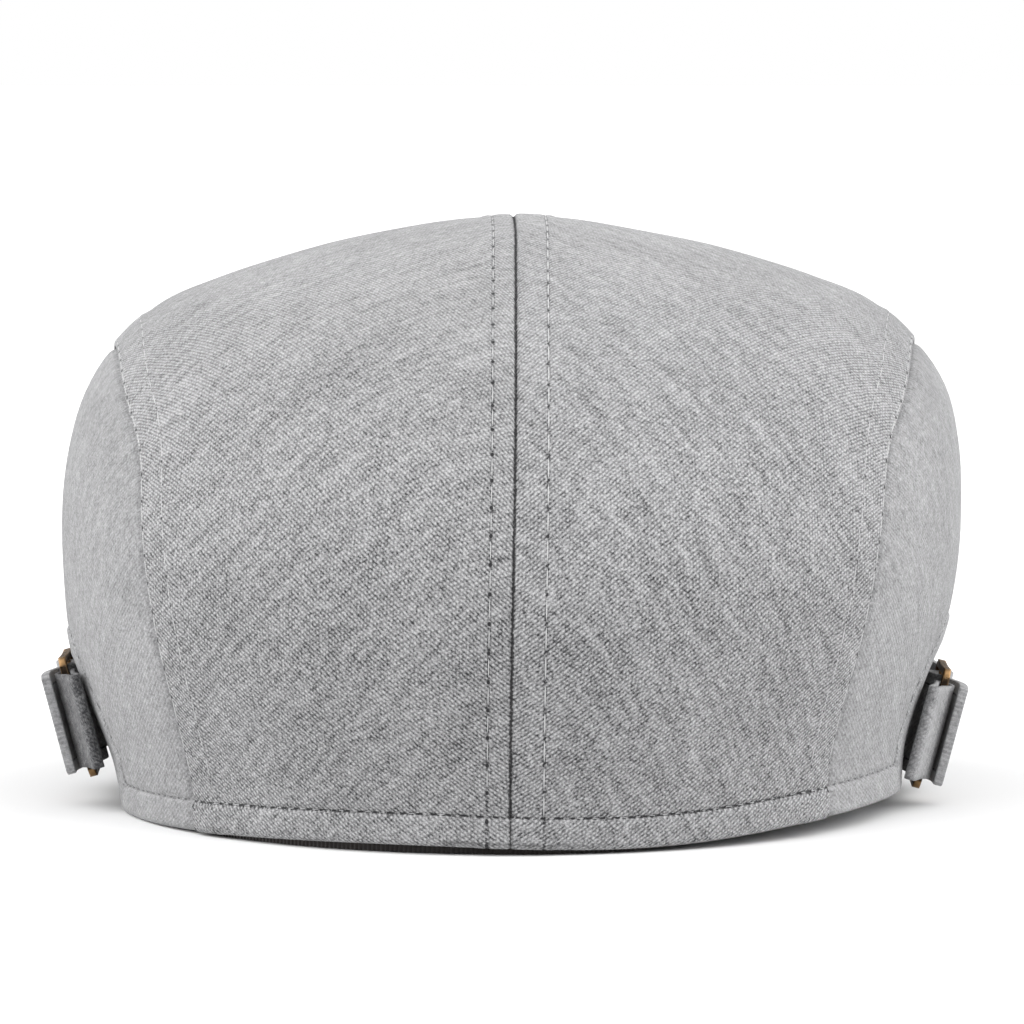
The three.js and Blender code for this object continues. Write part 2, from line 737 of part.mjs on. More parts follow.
const topCloth = finish(COLOUR_TOP, ROUGH_CLOTH);
const sideCloth = finish(COLOUR_SIDE, ROUGH_CLOTH);
const strapCloth = finish(COLOUR_STRAP, ROUGH_CLOTH);
const brass = finish(COLOUR_BRASS, ROUGH_BRASS, METAL_BRASS);

const topGrid = topPanelLeft();
const sideGrid = sidePanelLeft();
const topSwell = (row) => hemSwell(row, BACK_HEM_SWELL);
const sideSwell = (row) => hemSwell(row, SIDE_HEM_SWELL);
const LEFT = 1;
const RIGHT = -1;

const cap = new THREE.Group();
function add(name, geometry, material) {
  const mesh = new THREE.Mesh(geometry, material);
  mesh.name = name;
  cap.add(mesh);
}

add("top_panel_left", panelSolid(topGrid, topSwell), topCloth);
add("top_panel_right", panelSolid(rightGrid(topGrid), topSwell), topCloth);
add("side_panel_left", panelSolid(sideGrid, sideSwell), sideCloth);
add("side_panel_right", panelSolid(rightGrid(sideGrid), sideSwell), sideCloth);
add("sweatband", bandSolid(), finish(COLOUR_BAND, ROUGH_BAND));
add("peak", peakSolid(), finish(COLOUR_PEAK, ROUGH_CLOTH));
for (const [name, side] of [["left", LEFT], ["right", RIGHT]]) {
  add("strap_" + name, strapSolid(side), strapCloth);
  add("keeper_" + name, keeperSolid(side), strapCloth);
  add("buckle_" + name, buckleSolid(side), brass);
}

// The middle of the cap's footprint becomes the origin, with its lowest point on the floor
const box = new THREE.Box3();
cap.children.forEach((mesh) => {
  mesh.geometry.computeBoundingBox();
  box.union(mesh.geometry.boundingBox);
});
const middle = box.getCenter(new THREE.Vector3());
cap.children.forEach((mesh) => {
  mesh.geometry.translate(-middle.x, -middle.y, -box.min.z);
  mesh.geometry.computeVertexNormals();
});

export default cap;
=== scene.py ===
"""Flat cap of heather-grey woven cloth, with a peak, a sweatband and two buckled side straps.

Metres, +Z up. The peak points to -Y, the nape to +Y and the wearer's left to +X. The shape of
the crown is worked out in millimetres round the middle of the head opening.
"""

import logging
import math
from dataclasses import dataclass, field, replace
from enum import Enum
from typing import Any, Sequence

import bmesh
import bpy
import numpy as np
from mathutils import Matrix, Vector


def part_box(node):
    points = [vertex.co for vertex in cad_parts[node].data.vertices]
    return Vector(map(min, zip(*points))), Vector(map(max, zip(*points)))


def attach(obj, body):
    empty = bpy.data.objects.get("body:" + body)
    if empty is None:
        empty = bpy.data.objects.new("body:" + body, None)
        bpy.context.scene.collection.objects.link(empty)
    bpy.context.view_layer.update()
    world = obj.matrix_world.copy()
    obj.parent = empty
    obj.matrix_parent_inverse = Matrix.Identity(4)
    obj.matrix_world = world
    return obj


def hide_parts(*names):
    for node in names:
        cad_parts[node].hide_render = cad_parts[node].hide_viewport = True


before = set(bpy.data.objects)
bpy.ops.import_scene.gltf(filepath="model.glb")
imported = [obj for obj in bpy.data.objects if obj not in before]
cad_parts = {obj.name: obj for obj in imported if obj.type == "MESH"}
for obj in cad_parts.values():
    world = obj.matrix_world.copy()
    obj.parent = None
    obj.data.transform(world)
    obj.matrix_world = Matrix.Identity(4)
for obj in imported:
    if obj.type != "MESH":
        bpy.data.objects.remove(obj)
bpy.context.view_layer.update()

MM = 0.001
LOG = logging.getLogger("flat cap")

# Metres within which two points are taken as one
CLOSE = 2e-6

# Metres over the floor that the camera looks at
LOOK_HEIGHT = 0.06

# Millimetres over the floor that no cloth goes below
FLOOR_GAP = 0.03

# Outline of the head opening seen from above, in millimetres, and the squareness of an ellipse
HEM_WIDTH, HEM_LENGTH = 165, 204
ELLIPSE = 2

# Rows of stitches, in millimetres: their distances from the edges, and their pitches
SIDE_STITCH, SEAM_STITCH, HEM_STITCH, STRAP_STITCH = 7.8, 1.2, 6.4, 2.6
SEAM_PITCH, HEM_PITCH = 5.7, 3.0

# How far the side panels' hem stands out, in millimetres
SIDE_SWELL = 0.4

# Distances from the hem at which the tables of the panels have a place
NEAR_HEM = (0, 0.6, 1.2, 1.8, 2.5, 3.4, 4.4, 5.2, 5.7, 6.1, 6.4, 6.8, 7.3, 8.0, 9.0)

# Crown from its edge up to its top: share of the way out at the left, right, back and front,
# and share of the way up at the sides, back and front.
CROWN_COLUMNS = ("left", "right", "side_up", "back", "back_up", "front", "front_up")
CROWN_TABLE = np.array([
    [1.000, 1.000, 0.000, 1.000, 0.000, 1.000, 0.000],
    [1.026, 1.008, 0.091, 1.017, 0.091, 1.000, 0.070],
    [1.078, 1.050, 0.190, 1.050, 0.190, 0.985, 0.145],
    [1.119, 1.099, 0.290, 1.080, 0.285, 0.955, 0.225],
    [1.136, 1.127, 0.397, 1.088, 0.385, 0.912, 0.310],
    [1.137, 1.135, 0.496, 1.065, 0.485, 0.860, 0.400],
    [1.119, 1.129, 0.595, 1.015, 0.580, 0.800, 0.490],
    [1.077, 1.094, 0.694, 0.945, 0.665, 0.735, 0.575],
    [0.998, 1.008, 0.781, 0.855, 0.745, 0.665, 0.655],
    [0.882, 0.894, 0.851, 0.755, 0.810, 0.590, 0.730],
    [0.742, 0.754, 0.893, 0.640, 0.865, 0.505, 0.800],
    [0.600, 0.609, 0.926, 0.520, 0.908, 0.415, 0.860],
    [0.453, 0.464, 0.955, 0.395, 0.945, 0.320, 0.910],
    [0.302, 0.308, 0.977, 0.265, 0.973, 0.220, 0.952],
    [0.151, 0.153, 0.993, 0.130, 0.992, 0.110, 0.984],
    [0.000, 0.000, 1.000, 0.000, 1.000, 0.000, 1.000],
])
TOP_ROW = len(CROWN_TABLE) - 1

# Side seam: share of the turn from its back end to its front end, and row of the crown table
SEAM_POINTS = np.array([
    [0.0, 0.0], [0.004, 2.85], [0.043, 5.05], [0.083, 6.25], [0.164, 7.1], [0.33, 7.9],
    [0.528, 7.7], [0.67, 7.0], [0.792, 5.9], [0.887, 4.3], [0.953, 2.4], [1.0, 0.0],
])
SEAM_CORNER = 3 / (len(SEAM_POINTS) - 1)

# Columns of a side panel along its lower edge: share of the length behind the vent, places in
# the vent as shares of its reach, and share of the length ahead of it
BEHIND_VENT = (1, 0.72, 0.44, 0.2, 0.04)
VENT_BACK_SHARES = (0.999, 0.97, 0.86, 0.6, 0.25)
VENT_FRONT_SHARES = (-0.2, -0.6, -0.86, -0.97, -0.999)
AHEAD_OF_VENT = (0.03, 0.16, 0.32, 0.48, 0.64, 0.8, 0.92, 1)


class Side(Enum):
    """The wearer's left or right."""

    LEFT = 1
    RIGHT = -1

    @property
    def word(self) -> str:
        """The side's name as it stands in a piece's name."""
        return self.name.lower()

    @property
    def centre_stitch(self) -> float:
        """Distance of this side's row of stitches from the centre seam, in millimetres."""
        return 4.5 if self is Side.LEFT else 6.5

    def laid(self, places: np.ndarray) -> np.ndarray:
        """Places or directions of the left side, laid over to this side."""
        return places * np.array([self.value, 1, 1])[: places.shape[-1]]


def lerp(start: Any, end: Any, share: Any) -> Any:
    """A value between two others, for numbers and arrays alike."""
    return start + (end - start) * share


def smoothstep(value: Any, low: float, high: float) -> np.ndarray:
    """A soft step from 0 at low to 1 at high."""
    share = np.clip((value - low) / (high - low), 0, 1)
    return share * share * (3 - 2 * share)


def bell(value: Any, width: float) -> np.ndarray:
    """A round bump of height 1 at zero, and of that half width."""
    return np.exp(-np.square(value / width))


def oval_reach(turn: Any, half_width: float, reach: float, squareness: float) -> np.ndarray:
    """How far an oval reaches from its middle.

    Args:
        turn: Direction seen from above, in radians from the wearer's left.
        half_width: Reach to the side.
        reach: Reach to the back or front.
        squareness: 2 for an ellipse, more for a squarer oval.

    Returns:
        The reach in each direction.
    """
    across = np.abs(np.cos(turn)) / half_width
    along = np.abs(np.sin(turn)) / reach
    return (across**squareness + along**squareness) ** (-1 / squareness)


def smooth_sample(column: np.ndarray, at: np.ndarray) -> np.ndarray:
    """Smooth value between the rows of a table's column.

    Args:
        column: Values of the rows.
        at: Places between the rows, in rows.

    Returns:
        The value at each place.
    """
    whole = np.clip(np.floor(at).astype(int), 0, len(column) - 2)
    part = at - whole
    before, start, end, after = (
        column[np.clip(whole + step, 0, len(column) - 1)] for step in (-1, 0, 1, 2)
    )
    return (
        start * (1 + 2 * part) * (1 - part) ** 2
        + (end - before) / 2 * part * (1 - part) ** 2
        + end * part**2 * (3 - 2 * part)
        + (after - start) / 2 * part**2 * (part - 1)
    )


def centripetal(points: np.ndarray, share: np.ndarray) -> np.ndarray:
    """Smooth open curve through points, without loops at the close ones.

    Args:
        points: The points that it goes through.
        share: Share of the way, counted in points.

    Returns:
        The place on the curve at each share.
    """
    spans = len(points) - 1
    at = np.clip(np.asarray(share, float), 0, 1) * spans
    first = np.minimum(np.floor(at).astype(int), spans - 1)
    part = (at - first)[..., None]
    ends = np.vstack([2 * points[0] - points[1], points, 2 * points[-1] - points[-2]])
    p0, p1, p2, p3 = (ends[first + step] for step in range(4))

    def time(start: np.ndarray, end: np.ndarray) -> np.ndarray:
        """Square root of the distance between two points."""
        return np.sqrt(np.linalg.norm(end - start, axis=-1))[..., None]

    t0, t1, t2 = time(p0, p1), time(p1, p2), time(p2, p3)
    leave = ((p1 - p0) / t0 - (p2 - p0) / (t0 + t1) + (p2 - p1) / t1) * t1
    arrive = ((p2 - p1) / t1 - (p3 - p1) / (t1 + t2) + (p3 - p2) / t2) * t1
    return (
        p1
        + leave * part
        + (3 * (p2 - p1) - 2 * leave - arrive) * part**2
        + (2 * (p1 - p2) + leave + arrive) * part**3
    )


def run_length(line: np.ndarray) -> np.ndarray:
    """Length along a line of points, from its first point to each one."""
    return np.concatenate([[0.0], np.cumsum(np.linalg.norm(np.diff(line, axis=0), axis=1))])


def to_line(points: np.ndarray, line: np.ndarray) -> tuple[np.ndarray, np.ndarray]:
    """Nearest place on a line of points.

    Args:
        points: Points to measure from, one to a row.
        line: Points of the line in order.

    Returns:
        The distance of each point from the line, and the length along the line to its foot.
    """
    start, way = line[:-1], np.diff(line, axis=0)
    length_squared = np.maximum((way * way).sum(1), 1e-12)
    along = run_length(line)
    distances, places = [], []
    for piece in np.array_split(points, max(1, len(points) // 3000)):
        offset = piece[:, None, :] - start[None, :, :]
        share = np.clip((offset * way[None]).sum(2) / length_squared, 0, 1)
        gap = np.linalg.norm(offset - share[..., None] * way[None], axis=2)
        best = gap.argmin(1)
        rows = np.arange(len(piece))
        distances.append(gap[rows, best])
        places.append(lerp(along[best], along[best + 1], share[rows, best]))
    return np.concatenate(distances), np.concatenate(places)


def spread_columns(length: float, near_start: Sequence[float], near_end: Sequence[float],
                   spacing: float) -> np.ndarray:
    """Places along a length, close together near its two ends.

    Args:
        length: The whole length.
        near_start: Distances of the first places from the start.
        near_end: Distances of the last places from the end.
        spacing: Distance between the places of the middle.

    Returns:
        The places from 0 to the length.
    """
    low, high = max(near_start), length - max(near_end)
    middle = np.linspace(low, high, max(2, round((high - low) / spacing) + 1))[1:-1]
    return np.concatenate([near_start, middle, length - np.array(near_end)[::-1]])


@dataclass(frozen=True)
class PeakPlan:
    """Plan and slope of the peak, in millimetres."""

    width: float = 163
    reach: float = 158
    squareness: float = 2.6
    thick: float = 3.2
    slope: float = 0.13
    sag: float = 26
    corner_turn: float = 24
    inset: float = 1.5
    hem_width: float = HEM_WIDTH
    hem_length: float = HEM_LENGTH

    def plan(self, round_share: Any, out_share: Any) -> tuple[np.ndarray, np.ndarray]:
        """Place on the peak seen from above.

        Args:
            round_share: Share of the way round from one corner to the other.
            out_share: Share of the way from the brow edge to the front edge.

        Returns:
            The x and y of each place.
        """
        corner = math.radians(self.corner_turn)
        turn = -lerp(corner, math.pi - corner, np.asarray(round_share, float))
        near = oval_reach(turn, self.hem_width / 2 - self.inset,
                          self.hem_length / 2 - self.inset, ELLIPSE)
        far = oval_reach(turn, self.width / 2, self.reach, self.squareness)
        reach = lerp(near, far, out_share)
        return reach * np.cos(turn), reach * np.sin(turn)

    def rise(self, x: Any, y: Any) -> np.ndarray:
        """Height of the peak over the middle of its brow edge."""
        return self.slope * (y + self.hem_length / 2) - self.sag * (x / (self.width / 2)) ** 2

    def middle(self, x: Any, y: Any) -> np.ndarray:
        """Height of the middle of the peak's board over the floor.

        Args:
            x: Places seen from above, to the wearer's left.
            y: The same places, to the back.

        Returns:
            The height at each place.
        """
        across = np.arange(31) / 30
        lowest = min(
            float((self.rise(*self.plan(across, share)) - full * self.thick / 2).min())
            for share, full in ((0, 1), (0.3, 1), (0.6, 1), (0.84, 1), (0.95, 0.8), (1, 0.4))
        )
        return self.rise(x, y) - lowest


@dataclass(frozen=True)
class Crown:
    """Outer face of the crown over a disc, its edge on the rim and its top in the middle."""

    hem_width: float = HEM_WIDTH
    hem_length: float = HEM_LENGTH
    height: float = 122.2
    top_back: float = 12
    front: float = 140
    squareness: float = 2.7
    seam_gap: float = 0.4
    hem_lift: float = 1.7
    hem_lift_centre: float = 20
    hem_lift_width: float = 124
    right_lift: float = 4.4
    seam_back: float = math.radians(46)
    seam_front: float = math.radians(-60)
    vent_back: float = 27
    vent_front: float = 30
    vent_height: float = 30.5
    peak: PeakPlan = PeakPlan()

    def front_share(self, y: Any) -> np.ndarray:
        """0 behind the ears, 1 over the peak."""
        return smoothstep(-y, 10, 34)

    def right_rise(self, x: Any) -> np.ndarray:
        """How far the edge stands off the floor at the right side."""
        return self.right_lift * smoothstep(-x / (self.hem_width / 2), 0.12, 1.1)

    def edge_height(self, x: Any, y: Any) -> np.ndarray:
        """Height of the crown's lower edge over the floor.

        Args:
            x: Places seen from above, to the wearer's left.
            y: The same places, to the back.

        Returns:
            The height at each place.
        """
        off = (x - self.hem_lift_centre) / (self.hem_lift_width / 2)
        bump = np.where((y > 0) & (np.abs(off) < 1), (1 - off**2) ** 2, 0)
        on_peak = self.peak.middle(x, y) + self.peak.thick / 2 + self.seam_gap
        return lerp(self.hem_lift * bump + self.right_rise(x), on_peak, self.front_share(y))

    def hem_point(self, turn: Any) -> tuple[np.ndarray, np.ndarray]:
        """Place of the crown's edge seen from above.

        Args:
            turn: Directions from the middle of the head opening.

        Returns:
            The x and y in each direction.
        """
        ahead = oval_reach(turn, self.hem_width / 2, self.front, self.squareness)
        behind = oval_reach(turn, self.hem_width / 2, self.hem_length / 2, ELLIPSE)
        reach = np.where(np.sin(turn) < 0, ahead, behind)
        return reach * np.cos(turn), reach * np.sin(turn)

    def point(self, disc: np.ndarray) -> np.ndarray:
        """Place of the outer face.

        Args:
            disc: Places on the disc.

        Returns:
            The x, y and z of each place, in millimetres.
        """
        radius = np.minimum(np.hypot(disc[..., 0], disc[..., 1]), 1)
        turn = np.arctan2(disc[..., 1], disc[..., 0])
        row = (1 - radius) * TOP_ROW
        values = {
            name: smooth_sample(CROWN_TABLE[:, place], row)
            for place, name in enumerate(CROWN_COLUMNS)
        }
        behind, left = np.sin(turn) >= 0, np.cos(turn) >= 0
        side_share = np.cos(turn) ** 2
        out = lerp(
            np.where(behind, values["back"], values["front"]),
            np.where(left, values["left"], values["right"]),
            side_share,
        )
        middle_up = np.where(behind, values["back_up"], values["front_up"])
        up = lerp(middle_up, values["side_up"], side_share)
        hem_x, hem_y = self.hem_point(turn)
        height = lerp(self.edge_height(hem_x, hem_y), self.height, up)
        return np.stack([hem_x * out, lerp(self.top_back, hem_y, out), height], axis=-1)

    def normal(self, disc: np.ndarray) -> np.ndarray:
        """Outward direction of the outer face.

        Args:
            disc: Places on the disc.

        Returns:
            The direction at each place, of length 1.
        """
        step = 0.004
        radius = np.maximum(np.hypot(disc[..., 0], disc[..., 1]), 1e-6)[..., None]
        at = disc * np.minimum(1, (1 - 2 * step) / radius)
        across = self.point(at + [step, 0]) - self.point(at - [step, 0])
        along = self.point(at + [0, step]) - self.point(at - [0, step])
        out = np.cross(across, along)
        return out / np.linalg.norm(out, axis=-1, keepdims=True)

    def disc_at(self, turn: Any, row: Any) -> np.ndarray:
        """Place on the disc by direction and by row of the crown's table."""
        radius = 1 - np.asarray(row, float) / TOP_ROW
        return np.stack([radius * np.cos(turn), radius * np.sin(turn)], axis=-1)

    def seam_disc(self, share: Any) -> np.ndarray:
        """Place on the left side seam by the share of its length from nape to brow."""
        turns = lerp(self.seam_back, self.seam_front, SEAM_POINTS[:, 0])
        return centripetal(self.disc_at(turns, SEAM_POINTS[:, 1]), share)

    def side_edge(self, y: np.ndarray) -> np.ndarray:
        """Lower edge of the left side panel on the disc, lifted into an arch over the vent.

        Args:
            y: Places along the edge from back to front.

        Returns:
            The places on the disc.
        """
        reach = np.where(y >= 0, self.vent_back, self.vent_front)
        in_vent = np.minimum(np.abs(y) / reach, 1)
        arch = (self.vent_height / self.height) * np.sqrt(1 - in_vent**5)
        turns = np.radians(np.linspace(-85, 85, 2000))
        turn = np.interp(y, self.hem_point(turns)[1], turns)
        rise_per_row = CROWN_TABLE[3, 2] / 3
        return self.disc_at(turn, arch / rise_per_row)


def grid_mesh(name: str, places: np.ndarray, inward: bool = False) -> bpy.types.Object:
    """Sheet of faces over a table of places.

    Args:
        name: Name of the piece.
        places: Places by row, column and x, y and z, in millimetres.
        inward: Whether the faces are turned round, as on the mirrored side.

    Returns:
        The new object, linked to the scene.
    """
    rows, columns = places.shape[:2]
    bm = bmesh.new()
    bmesh.ops.create_grid(bm, x_segments=columns - 1, y_segments=rows - 1, size=1)
    for vertex in bm.verts:
        column = round((vertex.co.x + 1) / 2 * (columns - 1))
        row = round((vertex.co.y + 1) / 2 * (rows - 1))
        vertex.co = Vector(places[row, column]) * MM
    if inward:
        bmesh.ops.reverse_faces(bm, faces=bm.faces)
    return finished_object(name, bm)


def finished_object(name: str, bm: bmesh.types.BMesh) -> bpy.types.Object:
    """Object of a finished bmesh, smooth shaded and riding on the cap.

    Args:
        name: Name of the piece.
        bm: The bmesh, which is freed.

    Returns:
        The new object, linked to the scene.
    """
    mesh = bpy.data.meshes.new(name)
    bm.to_mesh(mesh)
    bm.free()
    mesh.shade_smooth()
    piece = bpy.data.objects.new(name, mesh)
    bpy.context.scene.collection.objects.link(piece)
    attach(piece, "root")
    return piece


def write_attribute(piece: bpy.types.Object, name: str, values: np.ndarray) -> None:
    """Keeps three numbers on each point of a sheet made by grid_mesh.

    Args:
        piece: The sheet, with its points in the order of the table.
        name: Name of the attribute.
        values: The numbers by row, column and place.
    """
    layer = piece.data.attributes.new(name, "FLOAT_VECTOR", "POINT")
    layer.data.foreach_set("vector", values.reshape(-1).astype(np.float32))


def sample_line(marks: Any, along: np.ndarray, line: np.ndarray) -> np.ndarray:
    """Places, or other tables of numbers, at lengths along a line of points.

    Args:
        marks: The lengths.
        along: Length at each point of the line.
        line: The points, one to a row.

    Returns:
        The place at each length.
    """
    columns = [np.interp(marks, along, column) for column in line.T]
    return np.stack(columns, axis=-1)


def thicken(piece: bpy.types.Object, wall: float, offset: float = 0.0) -> None:
    """Gives a sheet its thickness.

    Args:
        piece: The sheet.
        wall: The thickness in millimetres.
        offset: 0 to grow to both sides, -1 to grow inward.
    """
    modifier = piece.modifiers.new("cloth", "SOLIDIFY")
    modifier.thickness = wall * MM
    modifier.offset = offset


def seal(piece: bpy.types.Object, fill: bool = False) -> None:
    """Joins the points of a piece that lie on each other, as where a hoop closes.

    Args:
        piece: The piece.
        fill: Whether its open ends are closed as well.
    """
    bm = bmesh.new()
    bm.from_mesh(piece.data)
    bmesh.ops.remove_doubles(bm, verts=bm.verts, dist=CLOSE)
    if fill:
        open_edges = [edge for edge in bm.edges if edge.is_boundary]
        bmesh.ops.holes_fill(bm, edges=open_edges, sides=0)
        bmesh.ops.recalc_face_normals(bm, faces=bm.faces)
    bm.to_mesh(piece.data)
    bm.free()


def flattened(places: np.ndarray, rounds: int = 900) -> np.ndarray:
    """Flat pattern that a curved panel was cut to, as nearly true to its lengths as it goes.

    Args:
        places: Places of the panel by row and column, in millimetres.
        rounds: How often the lengths are evened out.

    Returns:
        The place of each point on the flat cloth in millimetres, columns along the first axis.
    """
    marks, picks = [], []
    for axis, count in ((0, 60), (1, 24)):
        steps = np.linalg.norm(np.diff(places, axis=axis), axis=2).mean(axis=1 - axis)
        mark = np.concatenate([[0.0], np.cumsum(steps)])
        even = np.linspace(0, mark[-1], min(count, len(mark)))
        marks.append(mark)
        picks.append(np.unique(np.abs(mark[None] - even[:, None]).argmin(axis=1)))
    coarse = places[np.ix_(*picks)]
    across = np.linalg.norm(np.diff(coarse, axis=1), axis=2)
    along = np.linalg.norm(np.diff(coarse, axis=0), axis=2)
    flat = np.zeros(coarse.shape[:2] + (2,))
    flat[:, 1:, 0] = np.cumsum(across, axis=1)
    flat[1:, :, 1] = np.cumsum(along.mean(axis=1))[:, None]
    pairs = []
    for row_step, column_step in ((0, 1), (1, 0), (1, 1), (1, -1)):
        first = (slice(0, len(flat) - row_step),
                 slice(max(0, -column_step), flat.shape[1] - max(0, column_step)))
        second = (slice(row_step, len(flat)),
                  slice(max(0, column_step), flat.shape[1] + min(0, column_step)))
        length = np.linalg.norm(coarse[second] - coarse[first], axis=2)
        pairs.append((first, second, length))
    for _ in range(rounds):
        for first, second, length in pairs:
            way = flat[second] - flat[first]
            now = np.maximum(np.linalg.norm(way, axis=2), 1e-6)
            push = way * (0.16 * (now - length) / now)[..., None]
            flat[first] += push
            flat[second] -= push
    for axis in (0, 1):
        known, wanted = marks[axis][picks[axis]], marks[axis]
        after = np.clip(np.searchsorted(known, wanted), 1, len(known) - 1)
        share = (wanted - known[after - 1]) / (known[after] - known[after - 1])
        shape = (-1, 1, 1) if axis == 0 else (1, -1, 1)
        flat = lerp(flat.take(after - 1, axis), flat.take(after, axis), share.reshape(shape))
    return flat


def sheet_area(flat: np.ndarray) -> float:
    """Area of a flat table of places.

    Args:
        flat: The places by row and column, in millimetres.

    Returns:
        The area in square metres.
    """
    first, second = flat[1:, 1:] - flat[:-1, :-1], flat[1:, :-1] - flat[:-1, 1:]
    doubled = np.abs(first[..., 0] * second[..., 1] - first[..., 1] * second[..., 0])
    return float(doubled.sum() / 2e6)


@dataclass
class StitchRow:
    """One row of stitches, each a short piece of thread that dives into the cloth."""

    pitch: float
    thread: float = 0.5
    share: float = 0.7
    sink: float = 0.05

    def add_to(self, bm: bmesh.types.BMesh, line: np.ndarray, normals: np.ndarray,
               along: np.ndarray) -> int:
        """Lays the stitches along a line on the cloth.

        Args:
            bm: The bmesh that the threads go into.
            line: Points of the line, in millimetres.
            normals: Outward direction of the cloth at each point.
            along: Length at each point, which the pitch is counted by.

        Returns:
            How many stitches were laid.
        """
        order = np.argsort(along)
        line, normals, along = line[order], normals[order], along[order]
        first, last = math.ceil(along[0] / self.pitch), math.floor(along[-1] / self.pitch)
        half = self.share / 2
        for place in range(first, last):
            marks = (np.array([0.5 - half, 0.5, 0.5 + half]) + place) * self.pitch
            start, middle, end = sample_line(marks, along, line)
            out = Vector(sample_line(marks[1], along, normals))
            if np.linalg.norm(end - start) < self.pitch * 0.3:
                continue
            way = Vector(end - start).normalized()
            side = out.cross(way).normalized()
            out = way.cross(side)
            spot = Vector(middle) - out * self.sink
            turn = Matrix((way, side, out)).transposed().to_4x4()
            size = Matrix.Diagonal((float(np.linalg.norm(end - start)) / 2, self.thread / 2,
                                    self.thread * 0.36, 1))
            bmesh.ops.create_uvsphere(
                bm, u_segments=8, v_segments=5, radius=MM,
                matrix=Matrix.Translation(spot * MM) @ turn @ size,
            )
        return last - first


class Relief:
    """Raised and sunk parts of the crown's cloth, in millimetres over distances on it."""

    ROLL = 0.65
    ROLL_WIDTH = 0.42
    DRAW = 0.12
    DRAW_WIDTH = 1.3
    RIDGE = 0.42
    HEM_GROOVE = 0.32
    GROOVE_WIDTH = 0.42

    @staticmethod
    def seam(distance: np.ndarray, stitch: float, groove: float) -> np.ndarray:
        """Cloth beside a seam: rolled down into it, raised over the allowance.

        Args:
            distance: Distances from the seam.
            stitch: Distance of the stitched row from the seam.
            groove: Depth of the stitched row.

        Returns:
            The height over the plain cloth.
        """
        roll = -Relief.ROLL * bell(distance, Relief.ROLL_WIDTH)
        roll -= Relief.DRAW * bell(distance, Relief.DRAW_WIDTH)
        ridge = Relief.RIDGE * (1 - smoothstep(distance, stitch + 0.6, stitch + 2.8))
        return roll + ridge - groove * bell(distance - stitch, 0.55)

    @staticmethod
    def hem(distance: np.ndarray, swell: float) -> np.ndarray:
        """Turned hem: a swelling from the fold up to the stitched groove.

        Args:
            distance: Distances from the fold.
            swell: How far the hem stands out.

        Returns:
            The height over the plain cloth.
        """
        raised = swell * (1 - smoothstep(distance, HEM_STITCH - 0.7, HEM_STITCH + 0.1))
        return raised - Relief.HEM_GROOVE * bell(distance - HEM_STITCH, Relief.GROOVE_WIDTH)


